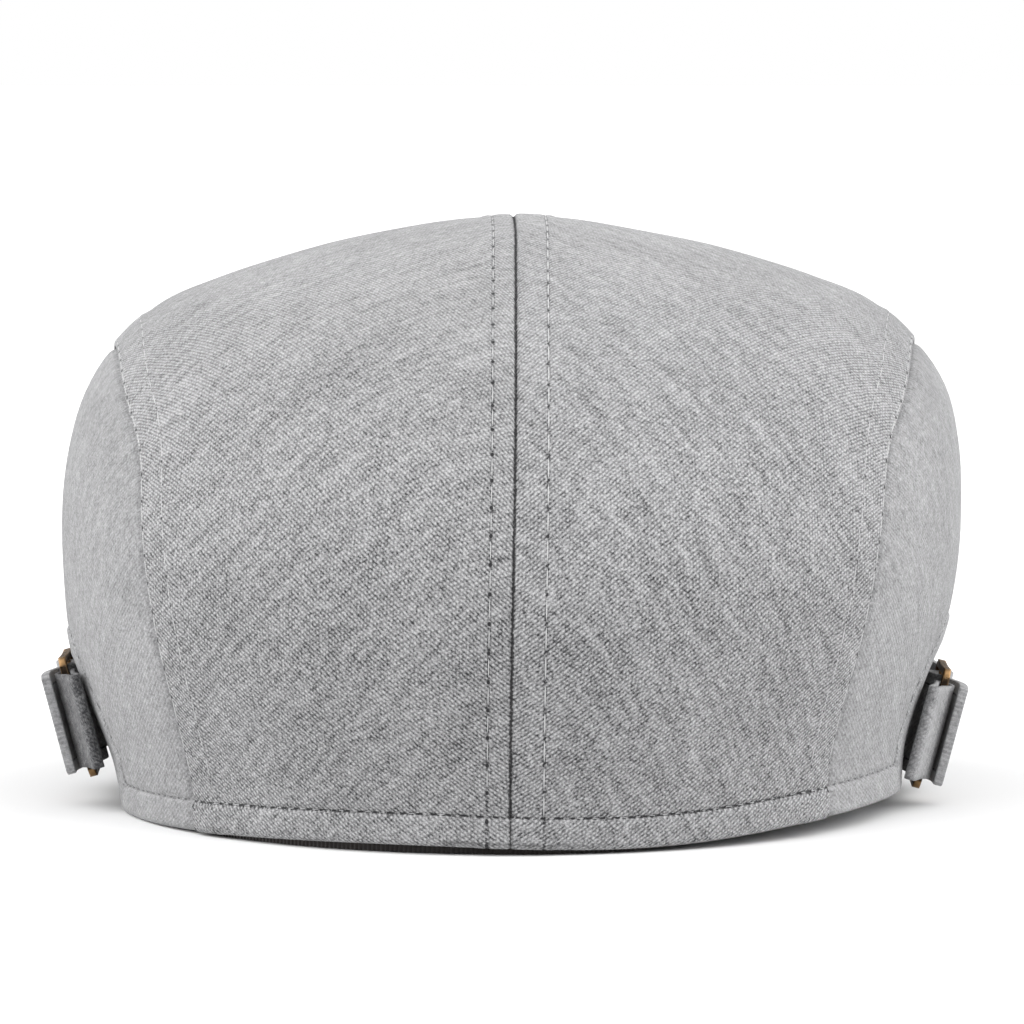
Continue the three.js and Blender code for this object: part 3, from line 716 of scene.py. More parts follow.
@dataclass
class Panel:
    """One cloth panel of the crown, with its hem turned up inside."""

    crown: Crown
    side: Side
    name: str
    swell: float
    spacing: float = 1.35
    cloth: float = 1.05
    fold: float = 1.15
    turned: float = 5.0
    cut: tuple[float, float] = (0.0, 0.0)
    area: float = 0.0
    lines: dict[str, tuple[np.ndarray, np.ndarray, np.ndarray]] = field(default_factory=dict)

    def disc(self, along: np.ndarray, across: np.ndarray) -> np.ndarray:
        """Places on the disc of the left panel, by two shares; each kind of panel has its own."""
        raise NotImplementedError

    def grid(self) -> np.ndarray:
        """Table of places on the disc, with its columns and rows close at the edges."""
        raise NotImplementedError

    def relief(self, places: np.ndarray) -> tuple[np.ndarray, np.ndarray, np.ndarray]:
        """Height over the plain crown, and distances from the edges and along them."""
        raise NotImplementedError

    def soft_waves(self, places: np.ndarray) -> np.ndarray:
        """Slight unevenness of steamed cloth, up to half a millimetre.

        Args:
            places: Places of the plain crown.

        Returns:
            The height at each place, in millimetres.
        """
        x, y, z = places[..., 0], places[..., 1], places[..., 2]
        return (
            0.22 * np.sin(x / 17 + 0.6 * np.sin(z / 21) + 1.3)
            + 0.18 * np.sin(z / 12.5 + y / 19 + 0.5 * self.side.value)
            + 0.12 * np.sin((x + z) / 8.5 + np.sin(y / 13))
        )

    def seam_lean(self, places: np.ndarray) -> np.ndarray:
        """How far the centre seam wanders to the right up the nape.

        Args:
            places: Places of the plain crown.

        Returns:
            The shift to the right at each place, in millimetres.
        """
        behind = smoothstep(places[..., 1], -10, 40)
        wander = lerp(-0.35, 0.75, smoothstep(places[..., 2], 5, 95)) * behind
        return wander * bell(places[..., 0], 45)

    def build(self) -> bpy.types.Object:
        """Shapes the panel with its folded hem and gives it its thickness.

        Returns:
            The panel's object.
        """
        disc = self.side.laid(self.grid())
        plain, normals = self.crown.point(disc), self.crown.normal(disc)
        height, gaps, runs = self.relief(plain)
        places = plain + normals * (height + self.soft_waves(plain))[..., None]
        places[..., 0] -= self.seam_lean(plain)
        self.trace(places, normals, gaps, runs)
        flat = flattened(plain)
        places, flat, gaps, runs = self.fold_hem(places, normals, flat, gaps, runs)
        places[..., 2] = np.maximum(places[..., 2], FLOOR_GAP)
        piece = grid_mesh(self.name + "_cloth", places, inward=self.side is Side.LEFT)
        write_attribute(piece, "cloth", np.dstack([flat, np.zeros(flat.shape[:2])]))
        write_attribute(piece, "edges", gaps)
        write_attribute(piece, "runs", runs)
        thicken(piece, self.cloth, offset=-1)
        LOG.info("%s: %.0f x %.0f mm, %.4f square metres", self.name,
                 *np.ptp(flat.reshape(-1, 2), axis=0), sheet_area(flat))
        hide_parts(self.name)
        return piece

    def fold_hem(self, places: np.ndarray, normals: np.ndarray, flat: np.ndarray,
                 *more: np.ndarray) -> list[np.ndarray]:
        """Carries the lower edge round a fold and a little way up inside.

        Args:
            places: Places of the panel, its fold along the first row.
            normals: Outward directions.
            flat: Places on the flat cloth.
            more: Other tables that the turned cloth takes from its nearest row.

        Returns:
            The same tables with the rows of the turned cloth before the first.
        """
        out = normals[0]
        down = places[0] - places[2]
        down -= (down * out).sum(1)[:, None] * out
        down /= np.maximum(np.linalg.norm(down, axis=1), 1e-6)[:, None]
        radius = self.fold
        centre = places[0] - down * radius - out * radius
        rows, fed = [], []
        for up in (self.turned, self.turned * 0.5):
            rows.append(centre - out * radius - down * up)
            fed.append(up + math.pi * radius)
        for turn in np.linspace(math.pi, 0, 9):
            outward, downward = radius * math.cos(turn), radius * math.sin(turn)
            rows.append(centre + out * outward + down * downward)
            fed.append(turn * radius)
        keep = 0
        while keep < 12 and np.median(np.linalg.norm(places[keep] - places[0], axis=1)) < radius:
            keep += 1
        way = flat[0] - flat[2]
        way /= np.maximum(np.linalg.norm(way, axis=1), 1e-6)[:, None]
        turned = [flat[0] + way * length for length in fed]
        tables = [np.concatenate([np.array(rows), places[keep:]]),
                  np.concatenate([np.array(turned), flat[keep:]])]
        for table in more:
            tables.append(np.concatenate([np.repeat(table[:1], len(rows), axis=0), table[keep:]]))
        return tables

    def spread_line(self, along: float, near_low: Sequence[float], near_high: Sequence[float],
                    count: int, steps: int) -> np.ndarray:
        """Places across the panel, close together at its two edges.

        Args:
            along: Share of the way along the panel.
            near_low: Distances of the first places from the first edge, in millimetres.
            near_high: Distances of the last places from the other edge.
            count: How many places there are in all.
            steps: How finely the way across is measured.

        Returns:
            The places on the disc.
        """
        share = np.linspace(0, 1, steps)
        disc = self.disc(np.full_like(share, along), share)
        length = run_length(self.crown.point(self.side.laid(disc)))
        room = min(1.0, length[-1] / (max(near_low) + max(near_high) + 4))
        low, high = np.array(near_low) * room, np.array(near_high) * room
        middle = np.linspace(low[-1], length[-1] - high[-1], count - len(low) - len(high) + 2)
        marks = np.concatenate([low, middle[1:-1], length[-1] - high[::-1]])
        picks = np.interp(marks, length, share)
        return self.disc(np.full_like(picks, along), picks)

    def trace(self, places: np.ndarray, normals: np.ndarray, gaps: np.ndarray,
              runs: np.ndarray) -> None:
        """Keeps the lines that rows of stitches follow; each kind of panel has its own."""
        raise NotImplementedError

    def hem_line(self, places: np.ndarray, normals: np.ndarray, gaps: np.ndarray,
                 runs: np.ndarray, columns: slice, rows: int) -> tuple[np.ndarray, ...]:
        """Line of the hem's stitches.

        Args:
            places: Places of the panel.
            normals: Outward directions.
            gaps: Distances from the edges.
            runs: Lengths along the edges.
            columns: The columns of the table that the line crosses.
            rows: How many rows are looked through.

        Returns:
            The line, as crossing gives it.
        """
        tables = (places, normals, gaps[..., 2], runs[..., 2])
        return self.crossing(
            *(table.swapaxes(0, 1)[columns, :rows] for table in tables), HEM_STITCH)

    def crossing(self, places: np.ndarray, normals: np.ndarray, gap: np.ndarray,
                 run: np.ndarray, distance: float) -> tuple[np.ndarray, np.ndarray, np.ndarray]:
        """Line over the panel at a distance from one edge.

        Args:
            places: Places, the edge along their first column.
            normals: Outward directions.
            gap: Distance of each place from the edge, growing along each row of the table.
            run: Length along the edge at each place.
            distance: Distance of the line.

        Returns:
            The points of the line, their outward directions and their lengths along the edge,
            where a row reaches so far.
        """
        points, outs, lengths = [], [], []
        for row, line in enumerate(gap):
            top = int(np.argmax(line))
            if line[top] < distance or top < 1:
                continue
            rising = np.maximum.accumulate(line[: top + 1])
            for table, kept in ((places, points), (normals, outs)):
                kept.append([
                    np.interp(distance, rising, table[row, : top + 1, axis]) for axis in range(3)
                ])
            lengths.append(np.interp(distance, rising, run[row, : top + 1]))
        return np.array(points), np.array(outs), np.array(lengths)


@dataclass
class TopPanel(Panel):
    """Top panel, from the nape over the top to the brow, between the centre and a side seam."""

    cut: tuple[float, float] = (0.0965, 0.3615)
    area: float = 0.0302
    inner: float = 86
    corner_row: float = 6.9
    corner_share: float = 9 / 31

    def disc(self, along: np.ndarray, across: np.ndarray) -> np.ndarray:
        """Patch between the centre line, the side seam and the hem at both ends.

        Args:
            along: Share of the way from the nape to the brow.
            across: Share of the way from the centre to the side seam.

        Returns:
            The places on the disc.
        """
        crown = self.crown
        back = np.clip(along / self.corner_share, 0, 1)
        ahead = np.clip((along - self.corner_share) / (1 - self.corner_share), 0, 1)
        top = 1 - self.corner_row / TOP_ROW
        middle_y = np.where(along < self.corner_share, lerp(1, top, back), lerp(top, -1, ahead))
        low = np.stack([np.zeros_like(middle_y), middle_y], axis=-1)
        high = crown.seam_disc(np.where(
            along < self.corner_share, SEAM_CORNER * back, lerp(SEAM_CORNER, 1, ahead)
        ))
        start = crown.disc_at(lerp(math.pi / 2, crown.seam_back, across), 0)
        end = crown.disc_at(lerp(-math.pi / 2, crown.seam_front, across), 0)
        corners = [
            crown.disc_at(np.full_like(along, turn), 0)
            for turn in (math.pi / 2, crown.seam_back, -math.pi / 2, crown.seam_front)
        ]
        a, b = along[..., None], across[..., None]
        return (
            low * (1 - b) + high * b + start * (1 - a) + end * a
            - corners[0] * (1 - a) * (1 - b) - corners[1] * (1 - a) * b
            - corners[2] * a * (1 - b) - corners[3] * a * b
        )

    def grid(self) -> np.ndarray:
        """Places on the disc, closer together at the seams and the hem.

        Returns:
            The table, with the hem at the nape along its first row.
        """
        fine = np.linspace(0, 1, 1200)
        line = self.crown.point(self.side.laid(self.disc(fine, np.full_like(fine, 0.35))))
        length = run_length(line)
        near_brow = (0, 0.5, 1.1, 1.9, 3.0)
        rows = np.interp(spread_columns(length[-1], NEAR_HEM, near_brow, self.spacing),
                         length, fine)
        stitch = self.side.centre_stitch
        near_centre = [0, 0.2, 0.42, 0.75, 1.25, 2.0, 2.9] + [
            stitch + past for past in (-0.7, -0.3, 0, 0.35, 0.8, 1.6, 2.6)]
        near_side = [0, 0.22, 0.48, 0.85, 1.3, 2.0, 3.2, 4.6, 6.0] + [
            SIDE_STITCH + past for past in (-0.7, 0, 0.7, 1.8, 3.0)]
        count = round(self.inner / self.spacing) + len(near_centre) + len(near_side)
        return np.array([
            self.spread_line(row, near_centre, near_side, count, 240) for row in rows
        ])

    def relief(self, places: np.ndarray) -> tuple[np.ndarray, np.ndarray, np.ndarray]:
        """Seam rolls, allowances, hem and brow edge of the panel.

        Args:
            places: Places of the plain crown.

        Returns:
            The height over them, and their distances from the centre seam, side seam and hem,
            and along each of those.
        """
        shape, flat = places.shape[:2], places.reshape(-1, 3)
        centre, centre_run = to_line(flat, places[:, 0])
        seam, seam_run = to_line(flat, places[:, -1])
        hem, hem_run = to_line(flat, places[0])
        brow, _ = to_line(flat, places[-1])
        puckered = 0.22 * (1 + 0.3 * np.sin(centre_run * 1.1))
        height = (
            Relief.seam(centre, self.side.centre_stitch, puckered)
            + Relief.seam(seam, SIDE_STITCH, 0.1)
            + Relief.hem(hem, self.swell)
            - 0.9 * bell(brow, 1.2)
        )
        gaps = np.stack([centre, seam, hem], axis=-1).reshape(shape + (3,))
        runs = np.stack([centre_run, seam_run, hem_run], axis=-1).reshape(shape + (3,))
        return height.reshape(shape), gaps, runs

    def trace(self, places: np.ndarray, normals: np.ndarray, gaps: np.ndarray,
              runs: np.ndarray) -> None:
        """Finds the stitched lines beside the centre seam, the side seam and along the hem.

        Args:
            places: Places of the panel.
            normals: Outward directions.
            gaps: Distances from the centre seam, side seam and hem.
            runs: Lengths along them.
        """
        tables = [table[10:-3] for table in (places, normals, gaps, runs)]
        plain, outs, gap, run = tables
        self.lines["centre"] = self.crossing(
            plain, outs, gap[..., 0], run[..., 0], self.side.centre_stitch)
        plain, outs, gap, run = (table[:, ::-1] for table in tables)
        for name, distance in (("side", SIDE_STITCH), ("seam", SEAM_STITCH)):
            self.lines[name] = self.crossing(plain, outs, gap[..., 1], run[..., 1], distance)
        self.lines["hem"] = self.hem_line(places, normals, gaps, runs, slice(1, -1), 60)


@dataclass
class SidePanel(Panel):
    """Side panel, with an arched vent in its lower edge behind the strap."""

    cut: tuple[float, float] = (0.2145, 0.0787)
    area: float = 0.01345
    spacing: float = 1.15
    rows: int = 44

    def disc(self, along: np.ndarray, across: np.ndarray) -> np.ndarray:
        """Patch between the lower edge and the side seam.

        Args:
            along: Share of the way from the nape end to the brow end, by the table's columns.
            across: Share of the way up from the lower edge to the seam.

        Returns:
            The places on the disc.
        """
        crown = self.crown
        _, back_y = crown.hem_point(crown.seam_back)
        _, front_y = crown.hem_point(crown.seam_front)
        places = np.array(
            [lerp(crown.vent_back, back_y, share) for share in BEHIND_VENT]
            + [share * crown.vent_back for share in VENT_BACK_SHARES]
            + [share * crown.vent_front for share in VENT_FRONT_SHARES]
            + [lerp(-crown.vent_front, front_y, share) for share in AHEAD_OF_VENT]
        )
        shares = np.arange(len(places)) / (len(places) - 1)
        fine_y = np.unique(np.concatenate([
            np.linspace(places[index], places[index + 1], 60) for index in range(len(places) - 1)
        ]))[::-1]
        edge = crown.side_edge(fine_y)
        length = run_length(crown.point(edge))
        marks = np.interp(-places, -fine_y, length)
        at = np.interp(np.interp(along, shares, marks), length, np.arange(len(fine_y)))
        low = sample_line(at, np.arange(len(fine_y)), edge)
        high = crown.seam_disc(lerp(SEAM_CORNER, 1, along))
        start = crown.seam_disc(SEAM_CORNER * across)
        foot, corner = crown.disc_at(crown.seam_back, 0), crown.seam_disc(SEAM_CORNER)
        bow = (start - lerp(foot, corner, across[..., None])) * ((1 - along) ** 4)[..., None]
        return lerp(low, high, across[..., None]) + bow

    def grid(self) -> np.ndarray:
        """Places on the disc, closer together at the hem, the vent and the seams.

        Returns:
            The table, with the lower edge along its first row.
        """
        fine = np.linspace(0, 1, 900)
        edge = self.disc(fine, np.zeros_like(fine))
        length = run_length(self.crown.point(self.side.laid(edge)))
        near_seam, near_brow = (0, 0.4, 0.9, 1.6, 2.6, 3.8), (0, 0.6, 1.4, 2.6)
        along = np.interp(spread_columns(length[-1], near_seam, near_brow, self.spacing),
                          length, fine)
        return np.array([
            self.spread_line(column, NEAR_HEM, near_seam, self.rows, 160) for column in along
        ]).swapaxes(0, 1)

    def relief(self, places: np.ndarray) -> tuple[np.ndarray, np.ndarray, np.ndarray]:
        """Seam roll, hem and vent edge of the panel.

        Args:
            places: Places of the plain crown.

        Returns:
            The height over them, and their distances from the seam, the back seam and the hem,
            and along each of those.
        """
        shape, flat = places.shape[:2], places.reshape(-1, 3)
        line = np.concatenate([places[:-1, 0], places[-1]])
        seam, seam_run = to_line(flat, line)
        hem, hem_run = to_line(flat, places[0])
        height = -Relief.ROLL * bell(seam, 0.8) - 0.25 * bell(seam, 3.0) + Relief.hem(
            hem, self.swell)
        gaps = np.stack([np.full_like(seam, 99), seam, hem], axis=-1).reshape(shape + (3,))
        runs = np.stack([seam_run, seam_run, hem_run], axis=-1).reshape(shape + (3,))
        return height.reshape(shape), gaps, runs

    def trace(self, places: np.ndarray, normals: np.ndarray, gaps: np.ndarray,
              runs: np.ndarray) -> None:
        """Finds the stitched line along the hem and round the vent.

        Args:
            places: Places of the panel.
            normals: Outward directions.
            gaps: Distances, the hem's in the third place.
            runs: Lengths along the edges.
        """
        self.lines["hem"] = self.hem_line(places, normals, gaps, runs, slice(2, -8), 30)


@dataclass
class Sweatband:
    """Ribbed band round the inside of the hem, a little lower than it at the nape."""

    crown: Crown
    name: str = "sweatband"
    high: float = 32
    thick: float = 1.2
    inset: float = 2.05
    steps: int = 240
    rows: int = 22
    bulge: float = 0.18
    lift: float = 0.05
    cut: tuple[float, float] = (0.568, 0.032)

    def build(self) -> bpy.types.Object:
        """Shapes the band as an oval hoop of ribbed cloth.

        Returns:
            The band's object.
        """
        crown = self.crown
        turn = np.linspace(0, 2 * math.pi, self.steps + 1)
        half = self.thick / 2
        reach = oval_reach(turn, crown.hem_width / 2 - self.inset,
                           crown.hem_length / 2 - self.inset, ELLIPSE)
        x, y = (reach - half) * np.cos(turn), (reach - half) * np.sin(turn)
        under_peak = crown.peak.middle(x, y) - crown.peak.thick / 2
        low = np.maximum(lerp(crown.right_rise(x), under_peak, crown.front_share(y)), 0)
        low += self.lift
        places, pattern = [], []
        around = run_length(np.stack([x, y], axis=-1))
        for share in np.linspace(0, 1, self.rows):
            grow = 1 + self.bulge * math.sin(math.pi * share) / reach
            places.append(np.stack([x * grow, y * grow, low + share * self.high], axis=-1))
            pattern.append(np.stack([around, np.full_like(around, share * self.high),
                                     np.zeros_like(around)], axis=-1))
        piece = grid_mesh("ribbed_band", np.array(places), inward=True)
        write_attribute(piece, "cloth", np.array(pattern))
        seal(piece)
        thicken(piece, self.thick)
        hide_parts(self.name)
        return piece


@dataclass
class Peak:
    """Stiff peak covered with the crown's cloth, with one row of stitches along its edge."""

    plan: PeakPlan
    name: str = "peak"
    depth: float = 70
    round_from: float = 0.955
    stitch_in: float = 6
    steps: int = 150

    def section(self, rows: int = 46) -> tuple[np.ndarray, np.ndarray]:
        """Closed section from the brow over the top to the edge and back underneath.

        Args:
            rows: Points of the upper half.

        Returns:
            The share of the way out, and the share of the half thickness, of each point.
        """
        start = self.round_from
        upper = np.concatenate([np.linspace(0, start, rows - 12), np.linspace(0.96, 1, 12)])
        rise = np.sqrt(np.clip(1 - ((upper - start) / (1 - start)).clip(0) ** 2, 0, 1))
        return np.concatenate([upper, upper[-2::-1]]), np.concatenate([rise, -rise[-2::-1]])

    def build(self) -> bpy.types.Object:
        """Shapes the covered peak and closes it along the brow.

        Returns:
            The peak's object.
        """
        round_share = np.linspace(0, 1, self.steps + 1)
        out, full = self.section()
        ends = np.sqrt(np.clip(1 - (1 - np.minimum(round_share, 1 - round_share) / 0.012)
                               .clip(0) ** 2, 0.04, 1))
        places = []
        for share, rise in zip(out, full):
            x, y = self.plan.plan(round_share, share)
            z = self.plan.middle(x, y) + rise * ends * (self.plan.thick / 2)
            edge = (1 - share) * self.depth
            groove = 0.3 * bell(edge - self.stitch_in, 0.6) * np.sign(rise)
            places.append(np.stack([x, y, np.maximum(z - groove * ends, FLOOR_GAP)], axis=-1))
        table = np.array(places)
        piece = grid_mesh("covered_peak", table, inward=True)
        write_attribute(piece, "cloth", np.dstack([table[..., :2], np.zeros(table.shape[:2])]))
        seal(piece, fill=True)
        piece.data.shade_smooth()
        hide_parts(self.name)
        return piece

    def stitches(self) -> bpy.types.Object:
        """Lays the row of stitches on the upper face.

        Returns:
            The stitches' object.
        """
        share = 1 - self.stitch_in / self.depth
        x, y = self.plan.plan(np.linspace(0.04, 0.96, 240), share)
        line = np.stack([x, y, self.plan.middle(x, y) + self.plan.thick / 2 - 0.3], axis=-1)
        tilt = np.stack([2 * self.plan.sag * x / (self.plan.width / 2) ** 2,
                         np.full_like(x, -self.plan.slope), np.ones_like(x)], axis=-1)
        bm = bmesh.new()
        normals = tilt / np.linalg.norm(tilt, axis=1)[:, None]
        count = StitchRow(pitch=3.4).add_to(bm, line, normals, run_length(line))
        LOG.info("peak_stitches: %d", count)
        return finished_object("peak_stitches", bm)


@dataclass
class StrapFrame:
    """Where the strap, keeper and buckle of one side stand, and their shared sizes."""

    crown: Crown
    side: Side
    high: float = 21.5
    thick: float = 2.0
    middle_left: float = 18.8
    middle_right: float = 16.4
    tilt: float = math.radians(15)
    root: float = -44
    end: float = 18
    flare: float = 0.1
    buckle_off: float = 2.7
    buckle_thick: float = 1.6
    buckle_bar: float = 1.7
    front_bar: float = -11
    back_bar: float = 11
    keeper_thick: float = 1.0
    keeper_high: float = 20
    keeper_end: float = 29.5
    fit: float = 0.4
    trim: float = 0.1
    hem_swell: float = SIDE_SWELL

    def name(self, kind: str) -> str:
        """Name of this side's piece of a kind."""
        return kind + "_" + self.side.word

    @property
    def up(self) -> np.ndarray:
        """Direction up along the strap's face, on the left side."""
        return np.array([math.sin(self.tilt), 0, math.cos(self.tilt)])

    @property
    def out(self) -> np.ndarray:
        """Direction out from the strap's face, on the left side."""
        return np.array([math.cos(self.tilt), 0, -math.sin(self.tilt)])

    def side_point(self, turn: Any, row: Any) -> np.ndarray:
        """Place on the crown of this side, laid over to the left."""
        return self.side.laid(self.crown.point(self.side.laid(self.crown.disc_at(turn, row))))

    def origin(self) -> np.ndarray:
        """Place on the crown behind the middle of the strap.

        Returns:
            The x, y and z, laid over to the left.
        """
        middle = self.middle_left if self.side is Side.LEFT else self.middle_right
        row = middle / self.crown.height / CROWN_TABLE[1, 2]
        return np.array([self.side_point(0.0, row)[0], 0, middle])

    def crown_out(self, along: float, height: float) -> float:
        """How far out the crown reaches behind the strap.

        Args:
            along: Place along the strap, to the back.
            height: Height of the piece that lies on the crown.

        Returns:
            The reach over the strap's origin.
        """
        rows, turns = np.meshgrid(np.arange(0, 4.01, 0.25), np.radians(np.arange(-40, 31, 1)))
        offset = self.side_point(turns, rows) - self.origin()
        near = np.abs(offset[..., 1] - along) < 1.6
        near &= np.abs(offset @ self.up) < height / 2 + 1
        return float((offset @ self.out)[near].max()) + self.hem_swell

    def stand(self, line: np.ndarray, heights: np.ndarray) -> np.ndarray:
        """Stands a line drawn over along and out on edge, over several heights.

        Args:
            line: Places along the strap and out from the crown.
            heights: Heights over the middle of the strap.

        Returns:
            The places by height and by point of the line.
        """
        along, out = line[None, :, 0, None], line[None, :, 1, None]
        places = (
            self.origin()
            + along * np.array([0.0, 1.0, 0.0])
            + out * self.out
            + heights[:, None, None] * self.up
        )
        return self.side.laid(places)

    def strap_line(self) -> np.ndarray:
        """Middle line of the strap: sewn ahead of the vent, through the buckle, free behind.

        Returns:
            Places along the strap and out from the crown.
        """
        half = self.thick / 2
        root = self.crown_out(self.root + 4, self.high) + self.crown.seam_gap + half
        over = self.buckle_off + self.buckle_thick / 2 + self.fit + half
        under = self.buckle_off - self.buckle_thick / 2 - self.fit - half
        past = (self.buckle_off + self.buckle_thick / 2 + self.fit + self.keeper_thick
                + self.fit + half)
        front, back = self.front_bar, self.back_bar
        return np.array([
            [self.root, self.crown_out(self.root, self.high) + self.crown.seam_gap + half],
            [self.root + 9, root + 0.3],
            [lerp(self.root, front, 0.62), lerp(root, over, 0.75)],
            [front - 0.5, over + 0.1],
            [front * 0.8, lerp(over, under, 0.1)],
            [front * 0.5, lerp(over, under, 0.55)],
            [front * 0.2, lerp(over, under, 0.94)],
            [0, under - 0.1],
            [back * 0.2, lerp(under, past, 0.05)],
            [back * 0.47, lerp(under, past, 0.5)],
            [back * 0.75, lerp(under, past, 0.92)],
            [back, past + 0.1],
            [self.end, past + self.flare],
        ])

    def keeper_line(self) -> np.ndarray:
        """Middle line of the keeper's ring: round the back bar, its far end on the crown.

        Returns:
            Places along the strap and out from the crown, round the ring.
        """
        half, thick, bar = self.keeper_thick + 0.3, self.keeper_thick, self.back_bar
        eye = self.buckle_thick / 2 + self.fit + thick
        end = self.crown_out(self.crown.vent_back, self.keeper_high) + self.crown.seam_gap + half
        slope = (end - self.buckle_off) / (self.keeper_end - bar)
        reach = self.buckle_bar / 2 + self.fit + 0.15
        grow = thick / 2
        far, middle = lerp(bar, self.keeper_end, 0.55), self.buckle_off + slope * (21 - bar)
        last = self.keeper_end - grow
        return np.array([
            [bar + reach + 1.5, self.buckle_off + eye - grow],
            [bar - reach + 0.4, self.buckle_off + eye - grow],
            [bar - reach - grow, self.buckle_off + (eye - grow) * 0.45],
            [bar - reach - grow, self.buckle_off - (eye - grow) * 0.45],
            [bar - reach + 0.4, self.buckle_off - eye + grow],
            [bar + reach + 1.5, self.buckle_off - eye + grow],
            [far, middle - half + grow],
            [last - 1, end - half + grow],
            [last, end - (half - grow) * 0.4],
            [last, end + (half - grow) * 0.4],
            [last - 1, end + half - grow],
            [far, middle + half - grow],
        ])


@dataclass
class Strap:
    """Side strap of doubled cloth, stitched along both edges."""

    place: StrapFrame
    edge: float = STRAP_STITCH
    cut: tuple[float, float] = (0.066, 0.0215)

    def line(self) -> np.ndarray:
        """Middle line of the strap at even steps.

        Returns:
            Places along the strap and out from the crown.
        """
        points = self.place.strap_line()
        fine = centripetal(points, np.linspace(0, 1, 800))
        along = run_length(fine)
        return sample_line(np.linspace(0, along[-1], 96), along, fine)

    def build(self) -> bpy.types.Object:
        """Shapes the strap, drawn in a little and rounded at its end.

        Returns:
            The strap's object.
        """
        place, line = self.place, self.line()
        half = place.high / 2
        heights = np.unique(np.concatenate([
            np.linspace(-half, half, 25), [-half + 0.3, half - 0.3],
            *(sign * (half - self.edge + np.array([-0.5, 0, 0.5])) for sign in (-1, 1)),
        ]))
        along = run_length(line)
        places = place.stand(line, heights)
        drawn = 1 - 0.05 * smoothstep(along, along[-1] - 2.5, along[-1])
        centre = places.mean(axis=0, keepdims=True)
        places = centre + (places - centre) * drawn[None, :, None]
        name = place.name("strap")
        piece = grid_mesh(name + "_cloth", places, inward=place.side is Side.RIGHT)
        u, v = np.meshgrid(along, heights + half)
        write_attribute(piece, "cloth", np.dstack([u, v, np.zeros_like(u)]))
        edge, end = half - np.abs(v - half), along[-1] - u
        far, run = np.full_like(u, 99), np.where(end < edge, v, u)
        write_attribute(piece, "edges", np.dstack([far, far, np.minimum(edge, end)]))
        write_attribute(piece, "runs", np.dstack([run, run, run]))
        thicken(piece, place.thick - place.trim)
        soft = piece.modifiers.new("soft edge", "BEVEL")
        soft.width = 0.8 * MM
        soft.segments = 4
        soft.angle_limit = math.radians(50)
        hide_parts(name)
        return piece

    def stitches(self) -> bpy.types.Object:
        """Lays the stitches along both edges of the outer face.

        Returns:
            The stitches' object.
        """
        place, line = self.place, self.line()
        way = np.gradient(line, axis=0)
        way /= np.linalg.norm(way, axis=1)[:, None]
        face_off = (place.thick - place.trim) / 2 - StitchRow.sink
        outer = line + np.stack([-way[:, 1], way[:, 0]], axis=-1) * face_off
        half = place.high / 2 - self.edge
        sides = place.stand(outer, np.array([-half, half]))
        face = np.gradient(sides[0], axis=0)
        normals = np.cross(face, place.side.laid(place.up)) * -place.side.value
        normals /= np.linalg.norm(normals, axis=1)[:, None]
        normals *= np.sign((normals * place.side.laid(place.out)).sum(1))[:, None]
        along = run_length(line)
        sewn = along < along[-1] - self.edge
        bm = bmesh.new()
        sewing = StitchRow(pitch=HEM_PITCH, thread=0.3)
        for row in sides:
            sewing.add_to(bm, row[sewn], normals[sewn], along[sewn])
        last = int(sewn.nonzero()[0][-1])
        across = place.stand(outer[last:last + 1], np.linspace(-half, half, 12))[:, 0]
        outs = np.repeat(normals[last:last + 1], 12, axis=0)
        sewing.add_to(bm, across, outs, run_length(across))
        return finished_object(place.name("strap") + "_stitches", bm)


@dataclass
class Keeper:
    """Flat ring of cloth that holds the buckle's back bar to the crown."""

    place: StrapFrame
    cut: tuple[float, float] = (0.043, 0.0198)

    def build(self) -> bpy.types.Object:
        """Shapes the ring of cloth.

        Returns:
            The keeper's object.
        """
        place = self.place
        corners = place.keeper_line()
        ring = np.vstack([corners, corners[:1]])
        along = run_length(ring)
        marks = np.linspace(0, along[-1], 73)
        line = sample_line(marks, along, ring)
        for _ in range(2):
            line[:-1] = (np.roll(line[:-1], 1, axis=0) + 2 * line[:-1]
                         + np.roll(line[:-1], -1, axis=0)) / 4
            line[-1] = line[0]
        half = place.keeper_high / 2 - place.trim
        heights = np.linspace(-half, half, 19)
        name = place.name("keeper")
        piece = grid_mesh(name + "_ring", place.stand(line, heights))
        u, v = np.meshgrid(marks, heights)
        write_attribute(piece, "cloth", np.dstack([u, v, np.zeros_like(u)]))
        seal(piece)
        thicken(piece, place.keeper_thick - place.trim)
        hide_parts(name)
        return piece


